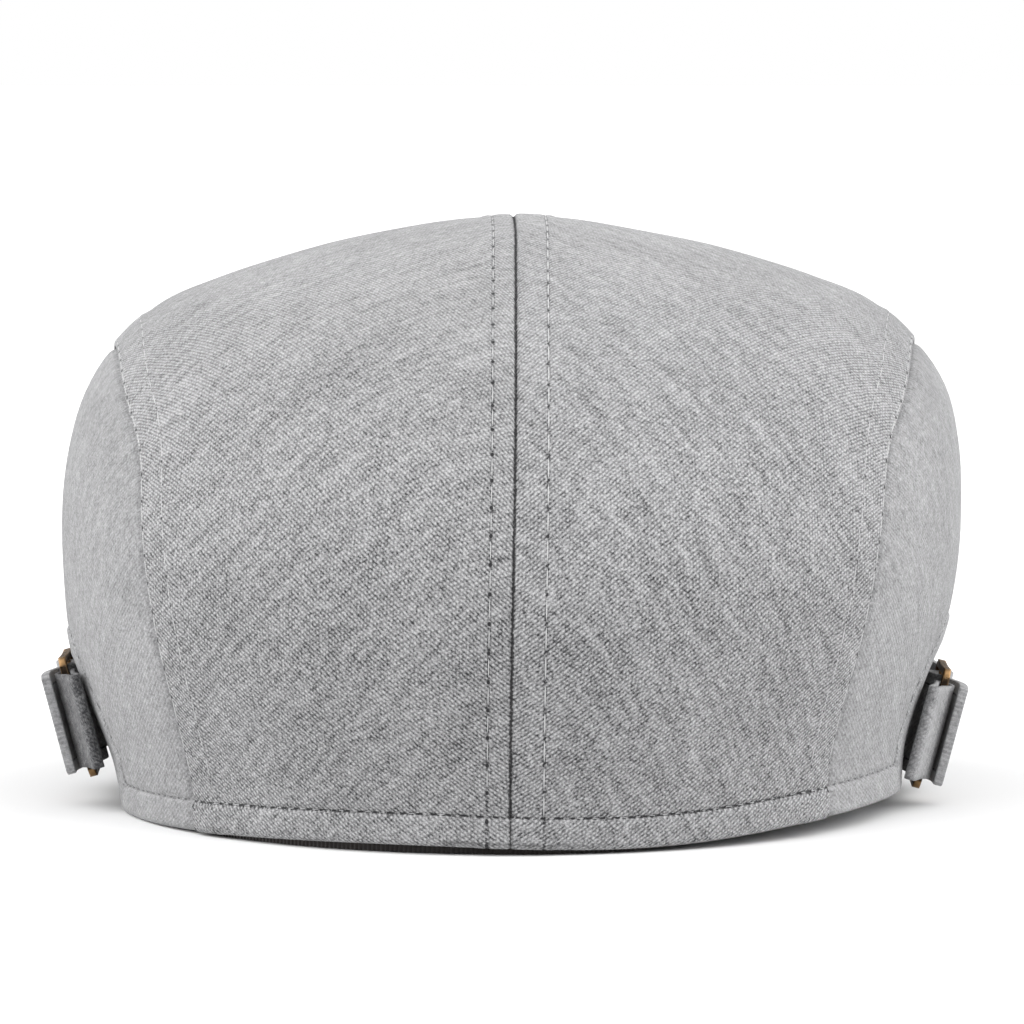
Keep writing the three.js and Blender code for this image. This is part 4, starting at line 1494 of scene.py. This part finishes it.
@dataclass
class Buckle:
    """Flat brass buckle with three bars, its edges worn bright."""

    place: StrapFrame
    corner: float = 2.4
    round_edge: float = 0.4

    def build(self) -> bpy.types.Object:
        """Cuts the two windows out of a plate, thickens it and rounds its edges.

        Returns:
            The buckle's object.
        """
        place = self.place
        bar, half = place.buckle_bar, place.buckle_bar / 2
        window = place.high / 2 + place.fit
        low, high = place.front_bar - half, place.back_bar + half
        columns = (low, low + bar, -half, half, high - bar, high)
        rows = (-window - bar, -window, window, window + bar)
        bm = bmesh.new()
        across, up = len(columns) - 1, len(rows) - 1
        bmesh.ops.create_grid(bm, x_segments=across, y_segments=up, size=1)
        for vertex in bm.verts:
            vertex.co.x = columns[round((vertex.co.x + 1) / 2 * across)] * MM
            vertex.co.y = rows[round((vertex.co.y + 1) / 2 * up)] * MM
        windows = [
            face for face in bm.faces
            if abs(face.calc_center_median().y) < MM
            and half * MM < abs(face.calc_center_median().x) < (place.back_bar - half) * MM
        ]
        bmesh.ops.delete(bm, geom=windows, context="FACES")
        plate = bmesh.ops.extrude_face_region(bm, geom=bm.faces[:])
        raised = [item for item in plate["geom"] if isinstance(item, bmesh.types.BMVert)]
        bmesh.ops.translate(bm, verts=raised, vec=(0, 0, place.buckle_thick * MM))
        bmesh.ops.recalc_face_normals(bm, faces=bm.faces)
        outer = [
            edge for edge in bm.edges
            if abs(edge.verts[0].co.z - edge.verts[1].co.z) > MM
            and abs(abs(edge.verts[0].co.y) - (window + bar) * MM) < CLOSE
            and min(abs(edge.verts[0].co.x - end * MM) for end in (low, high)) < CLOSE
        ]
        bmesh.ops.bevel(bm, geom=outer, offset=self.corner * MM, affect="EDGES", segments=6,
                        profile=0.5, material=-1)
        rims = [edge for edge in bm.edges if edge.calc_face_angle(0) > math.radians(60)]
        bmesh.ops.bevel(bm, geom=rims, offset=self.round_edge * MM, affect="EDGES", segments=3,
                        profile=0.5, material=-1)
        self.stand(bm)
        return self.worn(bm)

    def stand(self, bm: bmesh.types.BMesh) -> None:
        """Turns the flat plate to its place beside the crown.

        Args:
            bm: The plate.
        """
        place = self.place
        side = place.side.value
        back = place.buckle_off - place.buckle_thick / 2
        base = Vector(place.origin() + place.out * back) * MM
        ways = (Vector((0, 1, 0)), Vector(place.up), Vector(place.out))
        turn = Matrix(ways).transposed().to_4x4()
        bmesh.ops.transform(bm, matrix=Matrix.Translation(base) @ turn, verts=bm.verts)
        bmesh.ops.transform(bm, matrix=Matrix.Diagonal((side, 1, 1, 1)), verts=bm.verts)
        bmesh.ops.recalc_face_normals(bm, faces=bm.faces)

    def worn(self, bm: bmesh.types.BMesh) -> bpy.types.Object:
        """Marks the rounded edges as worn and makes the object.

        Args:
            bm: The standing buckle.

        Returns:
            The buckle's object.
        """
        layer = bm.verts.layers.float_vector.new("wear")
        laid = self.place.side.laid
        flat_ways = [
            Vector(way) for way in (laid(self.place.out), laid(self.place.up), (0, 1, 0))
        ]
        for vertex in bm.verts:
            flat = sum(
                any(abs(face.normal.dot(way)) > 0.999 for way in flat_ways)
                for face in vertex.link_faces
            )
            rounded = 1 - flat / max(1, len(vertex.link_faces))
            vertex[layer] = (rounded, rounded, rounded)
        name = self.place.name("buckle")
        piece = finished_object(name + "_brass", bm)
        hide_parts(name)
        return piece


def linear(red: float, green: float, blue: float) -> tuple[float, float, float, float]:
    """A colour as the eye reads it, as the shader's light values.

    Args:
        red: Its red, from 0 to 255.
        green: Its green.
        blue: Its blue.

    Returns:
        The light values from 0 to 1, with a full alpha.
    """
    values = (
        value / 12.92 if value <= 0.04045 else ((value + 0.055) / 1.055) ** 2.4
        for value in (red / 255, green / 255, blue / 255)
    )
    return (*values, 1.0)


class Wire:
    """A number in a finish; an expression on it adds its Math nodes."""

    def __init__(self, tree: "FinishTree", socket: bpy.types.NodeSocket) -> None:
        """Keeps the node tree and the socket."""
        self.tree = tree
        self.socket = socket

    def math(self, operation: str, first: Any, second: Any = 0.0) -> "Wire":
        """Adds one Math node.

        Args:
            operation: The node's operation.
            first: Its first value, a wire or a number.
            second: Its second value.

        Returns:
            The result.
        """
        return self.tree.add("ShaderNodeMath", 0, {"operation": operation}, {0: first, 1: second})

    def __add__(self, other: Any) -> "Wire":
        """The sum."""
        return self.math("ADD", self, other)

    __radd__ = __add__

    def __sub__(self, other: Any) -> "Wire":
        """The difference."""
        return self.math("SUBTRACT", self, other)

    def __rsub__(self, other: Any) -> "Wire":
        """The difference from a number."""
        return self.math("SUBTRACT", other, self)

    def __mul__(self, other: Any) -> "Wire":
        """The product."""
        return self.math("MULTIPLY", self, other)

    __rmul__ = __mul__

    def __truediv__(self, other: Any) -> "Wire":
        """The quotient."""
        return self.math("DIVIDE", self, other)

    def sine(self) -> "Wire":
        """The sine, from -1 to 1."""
        return self.math("SINE", self)

    def fraction(self) -> "Wire":
        """What is left over a whole number."""
        return self.math("FRACT", self)

    def whole(self) -> "Wire":
        """The whole number below."""
        return self.math("FLOOR", self)

    def clamped(self) -> "Wire":
        """The number kept from 0 to 1."""
        return self.tree.add("ShaderNodeClamp", 0, {}, {"Value": self})

    def step(self, low: float, high: float) -> "Wire":
        """A soft step from 0 at low to 1 at high, or the other way round if low is more.

        Args:
            low: The number that gives 0.
            high: The number that gives 1.

        Returns:
            The step.
        """
        down = low > high
        mask = self.tree.add(
            "ShaderNodeMapRange", 0, {"interpolation_type": "SMOOTHSTEP"},
            {"Value": self, "From Min": min(low, high), "From Max": max(low, high)},
        )
        return 1 - mask if down else mask


class FinishTree:
    """Node tree of one finish."""

    def __init__(self, owner: bpy.types.Material | bpy.types.World) -> None:
        """Clears the nodes.

        Args:
            owner: The material, or the world for the room round the cap.
        """
        owner.use_nodes = True
        self.owner = owner
        self.nodes = owner.node_tree.nodes
        self.nodes.clear()

    def add(self, kind: str, output: int | str, settings: dict[str, Any],
            sockets: dict[int | str, Any]) -> Wire:
        """Adds a node of any type.

        Args:
            kind: The node's type.
            output: Name or number of the output that is used.
            settings: The node's settings.
            sockets: Values or wires of its inputs.

        Returns:
            The output.
        """
        node = self.nodes.new(kind)
        for setting, value in settings.items():
            setattr(node, setting, value)
        for socket, value in sockets.items():
            if isinstance(value, Wire):
                self.owner.node_tree.links.new(value.socket, node.inputs[socket])
            else:
                node.inputs[socket].default_value = value
        return Wire(self, node.outputs[output])

    def attribute(self, name: str) -> tuple[Wire, Wire, Wire]:
        """The three numbers that a piece keeps on its points."""
        vector = self.add("ShaderNodeAttribute", "Vector", {"attribute_name": name}, {})
        return self.apart(vector)

    def apart(self, vector: Wire) -> tuple[Wire, Wire, Wire]:
        """The three numbers of a vector.

        Args:
            vector: The vector.

        Returns:
            Its x, y and z.
        """
        split = self.add("ShaderNodeSeparateXYZ", 0, {}, {0: vector})
        outputs = split.socket.node.outputs
        return Wire(self, outputs[0]), Wire(self, outputs[1]), Wire(self, outputs[2])

    def place(self) -> tuple[Wire, Wire, Wire]:
        """Place on the object.

        Returns:
            Its x, y and z, in millimetres.
        """
        vector = self.add("ShaderNodeTexCoord", "Object", {}, {})
        x, y, z = self.apart(vector)
        return x * 1000, y * 1000, z * 1000

    def noise(self, x: Any, y: Any, z: Any, detail: float = 2.0, rough: float = 0.5) -> Wire:
        """Cloudy noise round a half.

        Args:
            x: First coordinate; one unit is about one cloud.
            y: Second coordinate.
            z: Third coordinate.
            detail: How many finer layers it has.
            rough: Strength of the finer layers.

        Returns:
            The noise.
        """
        at = self.add("ShaderNodeCombineXYZ", 0, {}, {0: x, 1: y, 2: z})
        return self.add("ShaderNodeTexNoise", 0, {},
                        {"Vector": at, "Scale": 1.0, "Detail": detail, "Roughness": rough})

    def mix(self, start: Any, end: Any, share: Any) -> Wire:
        """A colour between two others."""
        return self.add("ShaderNodeMix", 2, {"data_type": "RGBA"}, {0: share, 6: start, 7: end})

    def bump(self, height: Wire) -> Wire:
        """The surface's direction after small relief, given in millimetres."""
        return self.add("ShaderNodeBump", 0, {},
                        {"Height": height, "Distance": MM, "Strength": 1.0})

    def close(self, sockets: dict[str, Any]) -> bpy.types.Material:
        """Ends the finish in its shader.

        Args:
            sockets: Values or wires of the shader.

        Returns:
            The material.
        """
        shader = self.add("ShaderNodeBsdfPrincipled", 0, {}, sockets)
        self.add_output("ShaderNodeOutputMaterial", shader)
        return self.owner

    def add_output(self, kind: str, shader: Wire) -> None:
        """Links the shader to the output node of a type."""
        end = self.nodes.new(kind)
        self.owner.node_tree.links.new(shader.socket, end.inputs["Surface"])


class Stitched(Enum):
    """Which rows of needle holes a cloth shows."""

    NONE = 0
    HEM = 1
    SEAMS = 2


@dataclass(frozen=True)
class HeatherCloth:
    """Woven cloth of light and dark grey fibres, with fine diagonal lines and slubs."""

    name: str
    light: tuple[float, float, float] = (174, 174, 175)
    dark: tuple[float, float, float] = (36, 36, 38)
    line_turn: float = 50
    slub_turn: float = 28
    pitch: float = 0.72
    weave: float = 0.3
    speckle: float = 2.0
    streak: float = 0.5
    stitched: Stitched = Stitched.NONE
    centre_stitch: float = Side.LEFT.centre_stitch
    hem_stitch: float = HEM_STITCH
    needle_mark: float = 1.0
    hem_mark: float = 0.55
    # lift: lightness added to the whole cloth; the keepers use it for painted shade
    lift: float = 0.0
    # foot: how much darker the cloth is painted towards the hem, as painted shade, between the
    # two heights that follow
    foot: float = 0.0
    foot_shade_heights: tuple[float, float] = (78, 40)
    fade: float = 0.35
    fade_heights: tuple[float, float] = (64, 120)

    def holes(self, gap: Wire, run: Wire, stitch: float, pitch: float, wide: float,
              long: float) -> Wire:
        """Mask of the needle holes of one row.

        Args:
            gap: Distance from the edge.
            run: Length along the edge.
            stitch: Distance of the row.
            pitch: Distance between the holes.
            wide: Half width of a hole.
            long: Half length of a hole.

        Returns:
            1 in a hole and 0 elsewhere.
        """
        across = (gap - stitch) / wide
        along = ((run / pitch + 0.5).fraction() - 0.5) * (pitch / long)
        return (across * across + along * along).step(1.4, 0.4)

    def line(self, gap: Wire, stitch: float, wide: float) -> Wire:
        """Mask of the thin line that a row of stitches presses into the cloth.

        Args:
            gap: Distance from the edge.
            stitch: Distance of the row.
            wide: Half width of the line.

        Returns:
            1 along the line and 0 elsewhere.
        """
        across = (gap - stitch) / wide
        return (across * across).step(1.0, 0.1)

    def tone(self, tree: FinishTree) -> tuple[Wire, Wire]:
        """Lightness and relief of the plain cloth, painted darker towards the bottom as painted
        shade where foot is set.

        Args:
            tree: The finish's node tree.

        Returns:
            The lightness from 0 to 1, and the relief in millimetres.
        """
        u, v, _ = tree.attribute("cloth")
        x, y, z = tree.place()
        turn, slub_turn = math.radians(self.line_turn), math.radians(self.slub_turn)
        wobble = tree.noise(x * 0.5, y * 0.5, z * 0.5, 2.0) - 0.5
        across = v * math.cos(turn) - u * math.sin(turn) + wobble * 0.55
        along = u * math.cos(turn) + v * math.sin(turn) + wobble * 0.8
        lines = (across * (2 * math.pi / self.pitch)).sine()
        knots = (along * (2 * math.pi / 0.95) + (across / self.pitch).whole() * 2.1).sine()
        weave = lines * (0.62 + knots * 0.38) + knots * 0.25
        fibre = tree.noise(x * 1.75, y * 1.75, z * 1.75, 3.0, 0.8) - 0.5
        clump = tree.noise(x * 0.6, y * 0.6, z * 0.6, 3.0, 0.65) - 0.5
        reach = u * -math.cos(slub_turn) + v * math.sin(slub_turn)
        over = u * math.sin(slub_turn) + v * math.cos(slub_turn)
        slub = tree.noise(reach * 0.09, over * 0.75, 1.7, 2.0, 0.6) - 0.5
        cloud = tree.noise(x * 0.045, y * 0.045, z * 0.045, 2.0, 0.5) - 0.5
        contrast = 1 - z.step(*self.fade_heights) * self.fade
        grain = (weave * self.weave + fibre * self.speckle) * contrast
        # The last term is painted shade, darker towards the bottom.
        tone = (0.5 + self.lift + grain + clump * 0.55 + slub * self.streak + cloud * 0.2
                - z.step(*self.foot_shade_heights) * self.foot)
        return tone, weave * 0.05 + fibre * 0.16 + slub * 0.08 + clump * 0.08

    def material(self) -> bpy.types.Material:
        """Builds the finish.

        Returns:
            The material.
        """
        tree = FinishTree(bpy.data.materials.new(self.name))
        tone, relief = self.tone(tree)
        if self.stitched is not Stitched.NONE:
            centre, side, hem = tree.attribute("edges")
            centre_run, side_run, hem_run = tree.attribute("runs")
            # Needle holes and the lines pressed by the rows of stitches are painted darker as
            # painted shade in those hollows.
            hole = self.holes(
                hem, hem_run, self.hem_stitch, HEM_PITCH, 0.2, 0.55) * self.hem_mark
            groove = self.line(hem, self.hem_stitch, 0.3) * self.hem_mark
            # The hem from the fold up to its stitched row is painted a little lighter, a painted
            # highlight on the swelling hem.
            tone = tone + hem.step(self.hem_stitch, self.hem_stitch - 0.5) * 0.04
            if self.stitched is Stitched.SEAMS:
                for gap, run, stitch, wide, long, mark in (
                    (centre, centre_run, self.centre_stitch, 0.36, 0.42, self.needle_mark),
                    (side, side_run, SIDE_STITCH, 0.2, 0.28, 0.4),
                    (side, side_run, SEAM_STITCH, 0.28, 0.36, 0.8),
                ):
                    hole = hole + self.holes(gap, run, stitch, SEAM_PITCH, wide, long) * mark
                groove = groove + self.line(centre, self.centre_stitch, 0.4) * 0.35
            wander = tree.noise(centre_run * 0.7, side_run * 0.7, hem_run * 0.7, 2.0) - 0.5
            # Painted shade in the creases of the centre and side seams, weaker near the hem.
            crease_shade = (centre + wander * 0.7).step(0.42, 0.08) * 0.62
            crease_shade = crease_shade + (side + wander * 0.4).step(0.4, 0.05) * 0.3
            crease_shade = crease_shade * (0.35 + hem.step(5.6, 6.6) * 0.65)
            tone = tone - hole * 1.2 - crease_shade - groove * (0.55 + wander * 1.2)
            relief = relief - hole * 0.25
        colour = tree.mix(linear(*self.dark), linear(*self.light), tone.clamped())
        return tree.close({
            "Base Color": colour, "Roughness": 0.93, "Normal": tree.bump(relief),
            "Specular IOR Level": 0.25, "Sheen Weight": 0.15, "Sheen Roughness": 0.55,
        })


@dataclass(frozen=True)
class Thread:
    """Sewing thread with its fine twist."""

    name: str = "grey_thread"
    light: tuple[float, float, float] = (196, 196, 196)
    dark: tuple[float, float, float] = (146, 146, 148)

    def material(self) -> bpy.types.Material:
        """Builds the finish.

        Returns:
            The material.
        """
        tree = FinishTree(bpy.data.materials.new(self.name))
        x, y, z = tree.place()
        twist = ((x + y + z * 1.4) * 14.0).sine()
        tone = 0.5 + twist * 0.2 + (tree.noise(x * 2, y * 2, z * 2) - 0.5) * 1.2
        return tree.close({
            "Base Color": tree.mix(linear(*self.dark), linear(*self.light), tone.clamped()),
            "Roughness": 0.7, "Normal": tree.bump(twist * 0.03), "Specular IOR Level": 0.3,
        })


@dataclass(frozen=True)
class RibbedBand:
    """Black ribbed ribbon, a little brown where it has faded."""

    name: str = "black_ribbed_band"
    pitch: float = 0.95

    def material(self) -> bpy.types.Material:
        """Builds the finish.

        Returns:
            The material.
        """
        tree = FinishTree(bpy.data.materials.new(self.name))
        u, v, _ = tree.attribute("cloth")
        ribs = (u * (2 * math.pi / self.pitch)).sine()
        fibre = tree.noise(u * 2.6, v * 5.0, 0.0, 2.0, 0.6) - 0.5
        faded = tree.noise(u * 0.03, v * 0.06, 4.0, 2.0)
        selvedge = v.step(1.8, 0.6) + v.step(30.2, 31.4)
        black = tree.mix(linear(20, 18, 18), linear(44, 38, 36), faded.step(0.42, 0.62))
        tone = (0.35 + ribs * 0.22 + fibre * 0.8 + selvedge * 0.25).clamped()
        return tree.close({
            "Base Color": tree.mix(black, linear(62, 57, 55), tone * 0.6),
            "Roughness": 0.72, "Normal": tree.bump(ribs * 0.11 + fibre * 0.06),
            "Specular IOR Level": 0.35, "Sheen Weight": 0.1,
        })


@dataclass(frozen=True)
class AgedBrass:
    """Darkened brass, brighter where its edges are rubbed."""

    name: str = "aged_brass"

    def material(self) -> bpy.types.Material:
        """Builds the finish.

        Returns:
            The material.
        """
        tree = FinishTree(bpy.data.materials.new(self.name))
        x, y, z = tree.place()
        wear, _, _ = tree.attribute("wear")
        stain = tree.noise(x * 0.35, y * 0.35, z * 0.35, 4.0, 0.65)
        grain = tree.noise(x * 3.0, y * 3.0, z * 0.7, 2.0) - 0.5
        rubbed = (wear * 0.75 + stain - 0.52 + grain * 0.3).step(0.1, 0.75)
        dark = tree.mix(linear(46, 38, 30), linear(76, 62, 46), stain.step(0.35, 0.65))
        return tree.close({
            "Base Color": tree.mix(dark, linear(142, 112, 76), rubbed),
            "Metallic": 0.8,
            "Roughness": 0.56 - rubbed * 0.18 + grain * 0.15,
            "Normal": tree.bump(grain * 0.03 + stain * 0.04),
        })


@dataclass(frozen=True)
class PaleFloor:
    """Plain matt white floor."""

    name: str = "pale_floor"

    def material(self) -> bpy.types.Material:
        """Builds the finish.

        Returns:
            The material.
        """
        tree = FinishTree(bpy.data.materials.new(self.name))
        x, y, _ = tree.place()
        haze = (tree.noise(x * 0.01, y * 0.01, 0.0) - 0.5) * 0.02
        colour = tree.mix((0.74, 0.74, 0.743, 1), (0.76, 0.76, 0.76, 1), 0.5 + haze)
        return tree.close({
            "Base Color": colour, "Roughness": 0.9, "Specular IOR Level": 0.0,
        })


@dataclass(frozen=True)
class PaleRoom:
    """White surroundings, bright at both sides and above behind the cap."""

    name: str = "pale_room"
    base: float = 0.12
    beside: float = 5.4
    above: float = 1.5
    above_turn: float = 58

    def world(self) -> bpy.types.World:
        """Builds the room.

        Returns:
            The room's light by direction, white all round near the horizon.
        """
        tree = FinishTree(bpy.data.worlds.new(self.name))
        x, y, z = tree.apart(tree.add("ShaderNodeTexCoord", "Object", {}, {}))
        turn = math.radians(self.above_turn)
        facing = (y * math.cos(turn) + z * math.sin(turn)).step(0.6, 0.95)
        low = z.step(0.2, 0.12)
        room = self.base + x * x * self.beside + facing * self.above
        strength = low + (1 - low) * room
        shader = tree.add("ShaderNodeBackground", 0, {},
                          {"Color": (1, 1, 1, 1), "Strength": strength})
        tree.add_output("ShaderNodeOutputWorld", shader)
        return tree.owner


def head_middle(height: float = 0.0) -> Vector:
    """Middle of the head opening, at a height over the floor in metres."""
    low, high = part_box("sweatband")
    return Vector(((low.x + high.x) / 2, (low.y + high.y) / 2, height))


@dataclass
class Studio:
    """White floor, pale room, soft light and the camera behind the cap."""

    middle: Vector
    distance: float = 1.5
    elevation: float = math.radians(4.1)
    pixels_per_metre: float = 4790.0
    frame_pixels: float = 1024.0
    sensor: float = 36.0

    def build(self) -> None:
        """Lays the floor, hangs the light and sets the camera."""
        self.floor()
        bpy.context.scene.world = PaleRoom().world()
        self.light("overhead", place=(0.0, 0.3, 1.5), size=(1.5, 1.5), watts=2.0)
        self.camera()
        bpy.context.scene.view_settings.view_transform = "Standard"

    def floor(self) -> None:
        """Lays a wide floor at height zero."""
        bm = bmesh.new()
        bmesh.ops.create_grid(bm, x_segments=2, y_segments=2, size=12)
        mesh = bpy.data.meshes.new("floor")
        bm.to_mesh(mesh)
        bm.free()
        floor = bpy.data.objects.new("floor", mesh)
        bpy.context.scene.collection.objects.link(floor)
        floor.data.materials.append(PaleFloor().material())

    def light(self, name: str, place: tuple[float, float, float], size: tuple[float, float],
              watts: float) -> None:
        """Hangs a soft box that faces the cap.

        Args:
            name: Name of the light.
            place: Where it hangs, from the middle of the cap's footprint.
            size: Its width and height.
            watts: Its power.
        """
        data = bpy.data.lights.new(name, "AREA")
        data.shape = "RECTANGLE"
        data.size, data.size_y = size
        data.energy = watts
        box = bpy.data.objects.new(name, data)
        box.location = Vector((self.middle.x, self.middle.y, 0)) + Vector(place)
        aim = self.middle - box.location
        box.rotation_euler = aim.to_track_quat("-Z", "Y").to_euler()
        bpy.context.scene.collection.objects.link(box)

    def camera(self) -> None:
        """Sets the camera behind the cap, a little above it."""
        data = bpy.data.cameras.new("camera")
        data.sensor_width = self.sensor
        pixels = self.pixels_per_metre * self.distance
        data.lens = pixels * self.sensor / self.frame_pixels
        camera = bpy.data.objects.new("camera", data)
        way = Vector((0, math.cos(self.elevation), math.sin(self.elevation)))
        camera.location = self.middle + way * self.distance
        camera.rotation_euler = (-way).to_track_quat("-Z", "Y").to_euler()
        bpy.context.scene.collection.objects.link(camera)
        bpy.context.scene.camera = camera


@dataclass
class Cap:
    """The whole cap: crown panels, sweatband, peak and side straps."""

    crown: Crown = Crown()
    pieces: list[bpy.types.Object] = field(default_factory=list)

    def keep(self, piece: bpy.types.Object, material: bpy.types.Material, slot: str) -> None:
        """Gives a piece its finish and keeps it for settle.

        Args:
            piece: The piece.
            material: Its finish.
            slot: Not used.
        """
        piece.data.materials.clear()
        piece.data.materials.append(material)
        self.pieces.append(piece)
        LOG.info("%s: %d points", piece.name, len(piece.data.vertices))

    def build(self) -> None:
        """Builds every piece in order."""
        self.build_panels()
        self.build_band_and_peak()
        for side in Side:
            self.build_strap(side)
        self.settle()

    def build_panels(self) -> None:
        """Builds the four panels of the crown and their stitches."""
        thread = Thread().material()
        for side in Side:
            turns = (50, 28) if side is Side.LEFT else (45, 45)
            top = TopPanel(self.crown, side, "top_panel_" + side.word, swell=0.8)
            flank = SidePanel(self.crown, side, "side_panel_" + side.word, swell=SIDE_SWELL)
            # The top panels are painted darker towards the hem as painted shade (foot), and the
            # left one's centre-row needle holes are painted much darker than the right one's
            top_cloth = HeatherCloth(
                "heather_top_" + side.word, line_turn=turns[0], slub_turn=turns[1],
                stitched=Stitched.SEAMS, centre_stitch=side.centre_stitch,
                needle_mark=1.0 if side is Side.LEFT else 0.15, foot=0.07)
            side_cloth = HeatherCloth(
                "heather_side_" + side.word, line_turn=-40, slub_turn=55, weave=0.03,
                speckle=1.3, streak=0.3, stitched=Stitched.HEM, hem_mark=0.2)
            for panel, cloth, slot in ((top, top_cloth, "top_cloth"),
                                       (flank, side_cloth, "side_cloth")):
                piece = panel.build()
                self.keep(piece, cloth.material(), slot)
                stitches = self.panel_stitches(panel)
                self.keep(stitches, thread, slot)

    def panel_stitches(self, panel: Panel) -> bpy.types.Object:
        """Sews the rows of one panel.

        Args:
            panel: The panel, already built.

        Returns:
            The stitches' object.
        """
        bm = bmesh.new()
        thread, share = (0.34, 0.86) if panel.side is Side.RIGHT else (0.24, 0.74)
        rows = {
            "centre": StitchRow(SEAM_PITCH, thread, share, sink=-0.05),
            "side": StitchRow(SEAM_PITCH, thread=0.22, share=0.8, sink=0.0),
            "seam": StitchRow(SEAM_PITCH, thread=0.28, share=0.8, sink=0.0),
            "hem": StitchRow(HEM_PITCH, thread=0.22, share=0.55, sink=0.06),
        }
        for name, line in panel.lines.items():
            count = rows[name].add_to(bm, *line)
            LOG.info("%s: %d stitches along the %s", panel.name, count, name)
        return finished_object(panel.name + "_stitches", bm)

    def build_band_and_peak(self) -> None:
        """Builds the sweatband and the peak."""
        self.keep(Sweatband(self.crown).build(), RibbedBand().material(), "band_cloth")
        peak = Peak(self.crown.peak)
        cover = HeatherCloth("heather_peak", line_turn=45, slub_turn=35)
        self.keep(peak.build(), cover.material(), "peak_cloth")
        self.keep(peak.stitches(), Thread("peak_thread").material(), "peak_cloth")

    def build_strap(self, side: Side) -> None:
        """Builds the strap, keeper and buckle of one side.

        Args:
            side: The side.
        """
        place = StrapFrame(self.crown, side)
        cloth = HeatherCloth("heather_strap_" + side.word, light=(182, 182, 183),
                             dark=(50, 50, 52), line_turn=45, slub_turn=20, weave=0.08,
                             speckle=1.0, streak=0.4, stitched=Stitched.HEM,
                             hem_stitch=STRAP_STITCH)
        # The keepers' cloth is painted darker as painted shade between strap and crown: the left
        # keeper much darker, the right one slightly
        plain = replace(cloth, name="heather_keeper_" + side.word, stitched=Stitched.NONE,
                        lift=-0.40 if side is Side.LEFT else -0.05)
        strap = Strap(place)
        piece = strap.build()
        self.keep(piece, cloth.material(), "strap_cloth")
        stitches = strap.stitches()
        self.keep(stitches, Thread("strap_thread_" + side.word).material(), "strap_cloth")
        self.keep(Keeper(place).build(), plain.material(), "strap_cloth")
        self.keep(Buckle(place).build(), AgedBrass("aged_brass_" + side.word).material(), "brass")

    def settle(self) -> None:
        """Moves all pieces from the middle of the head opening to their place in the frame."""
        shift = Matrix.Translation(head_middle())
        for piece in self.pieces:
            piece.data.transform(shift)
            piece.data.update()


def main() -> None:
    """Builds the cap and the studio."""
    logging.basicConfig(level=logging.INFO, format="%(name)s: %(message)s")
    cap = Cap()
    cap.build()
    Studio(head_middle(LOOK_HEIGHT)).build()
    LOG.info("%d pieces", len(cap.pieces))


if __name__ == "__main__":
    main()
